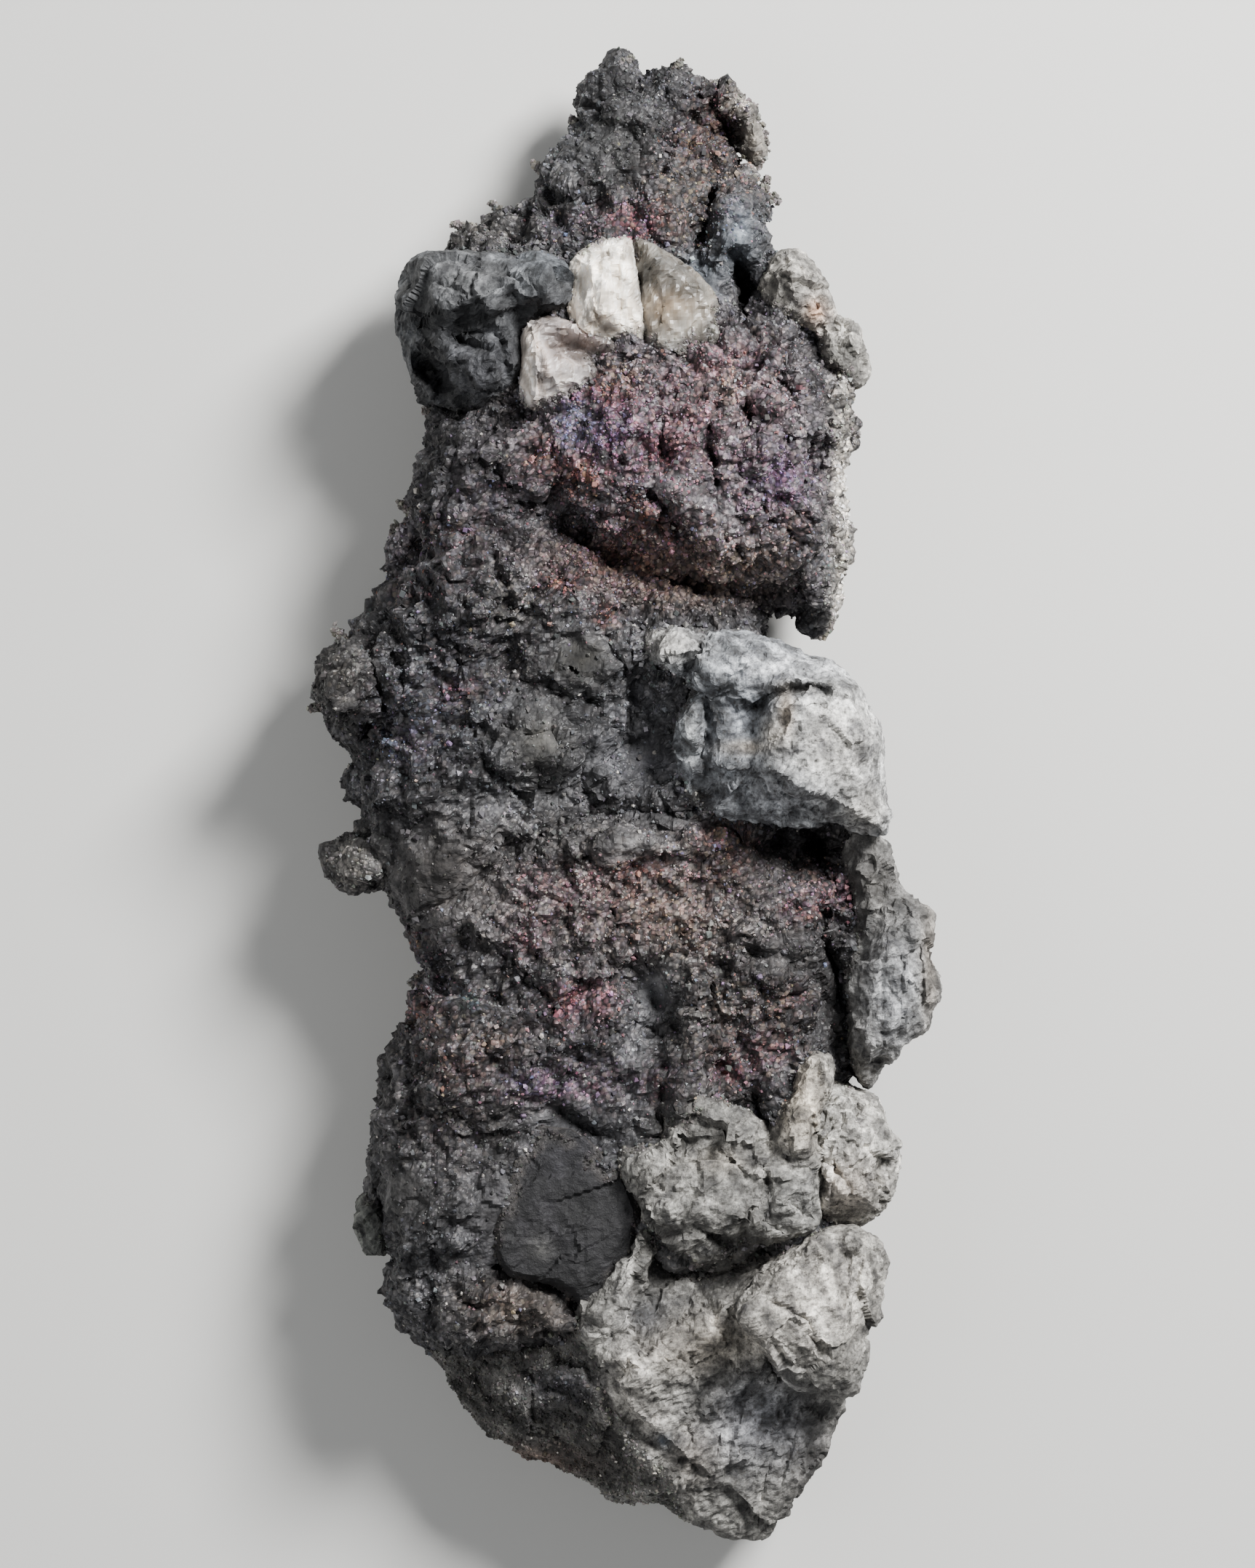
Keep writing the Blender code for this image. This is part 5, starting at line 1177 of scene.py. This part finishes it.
bpy.data.objects.remove(silver)
for seed, (piece, near) in enumerate(edge_hosts, 20):
    co, out = places(piece), facings(piece)
    share = near * soft((out[:, 2] - 0.05) / 0.2)
    if piece.name == "base_stone":
        share = np.maximum(share, within(co, FLANK) * (0.35 + 0.65 * soft(out[:, 2] / 0.3)))
    corners = read(piece.data.loop_triangles, "vertices").astype(int)
    area = read(piece.data.loop_triangles, "area", 1)[:, 0] / MM ** 2
    count = min(int(PER_SQUARE_MM * (area * share[corners].mean(1)).sum()), MOST)
    if count > FEWEST:
        crust = grow(piece, piece.name + "_silver_crumbs", count, 0.3, 0.8, share + NOWHERE, seed)
        hand_in(crust, crystal, "native_silver")

# %% [markdown]
# ## Floor, light and camera
# The floor is plain pale paint, dull and even. One soft lamp stands at the upper right, where the light comes
# from in the photograph, with a weak wide fill opposite and a dim sky.

# %% Floor and light
def area_lamp(name, place, size, power):
    lamp = bpy.data.objects.new(name, bpy.data.lights.new(name, "AREA"))
    bpy.context.scene.collection.objects.link(lamp)
    lamp.data.size, lamp.data.energy = size, power
    lamp.location = place
    lamp.rotation_euler = (Vector((0, 0, 0.02)) - Vector(place)).to_track_quat("-Z", "Y").to_euler()
    lamp.visible_camera = False


bpy.ops.mesh.primitive_plane_add(size=8)
floor = bpy.context.object
floor.name = "floor"
pale, tree = new_material("pale_floor_paint")
shader = add(tree, "BsdfPrincipled", {"Base Color": linear("#d9d8d4"), "Roughness": 0.9})
add(tree, "OutputMaterial", {"Surface": shader})
floor.data.materials.append(pale)

area_lamp("key_lamp", (0.42, 0.42, 0.56), 0.25, 19)
area_lamp("fill_lamp", (-0.6, -0.2, 0.6), 0.8, 3)
world = bpy.data.worlds.new("studio")
world.use_nodes = True
sky = world.node_tree.nodes["Background"].inputs
sky["Color"].default_value = linear("#e6ebf2")
sky["Strength"].default_value = 0.2
bpy.context.scene.world = world

# %% [markdown]
# The photograph was taken square to the slab, so the camera looks straight down. Most of what it sees lies
# about 30 mm above the floor. It stands 0.9 m above that level, and its lens is as long as it takes to see
# 262.4 mm down the slab there.

# %% Camera
HEIGHT, SEEN = 0.9, 0.2624
MIDDLE = (0.00055, 0.0023, 0.03)
camera = bpy.data.objects.new("camera", bpy.data.cameras.new("camera"))
bpy.context.scene.collection.objects.link(camera)
camera.location = (MIDDLE[0], MIDDLE[1], MIDDLE[2] + HEIGHT)
camera.data.lens = camera.data.sensor_width * HEIGHT / SEEN
bpy.context.scene.camera = camera
print(f"lens of {camera.data.lens:.0f} mm")
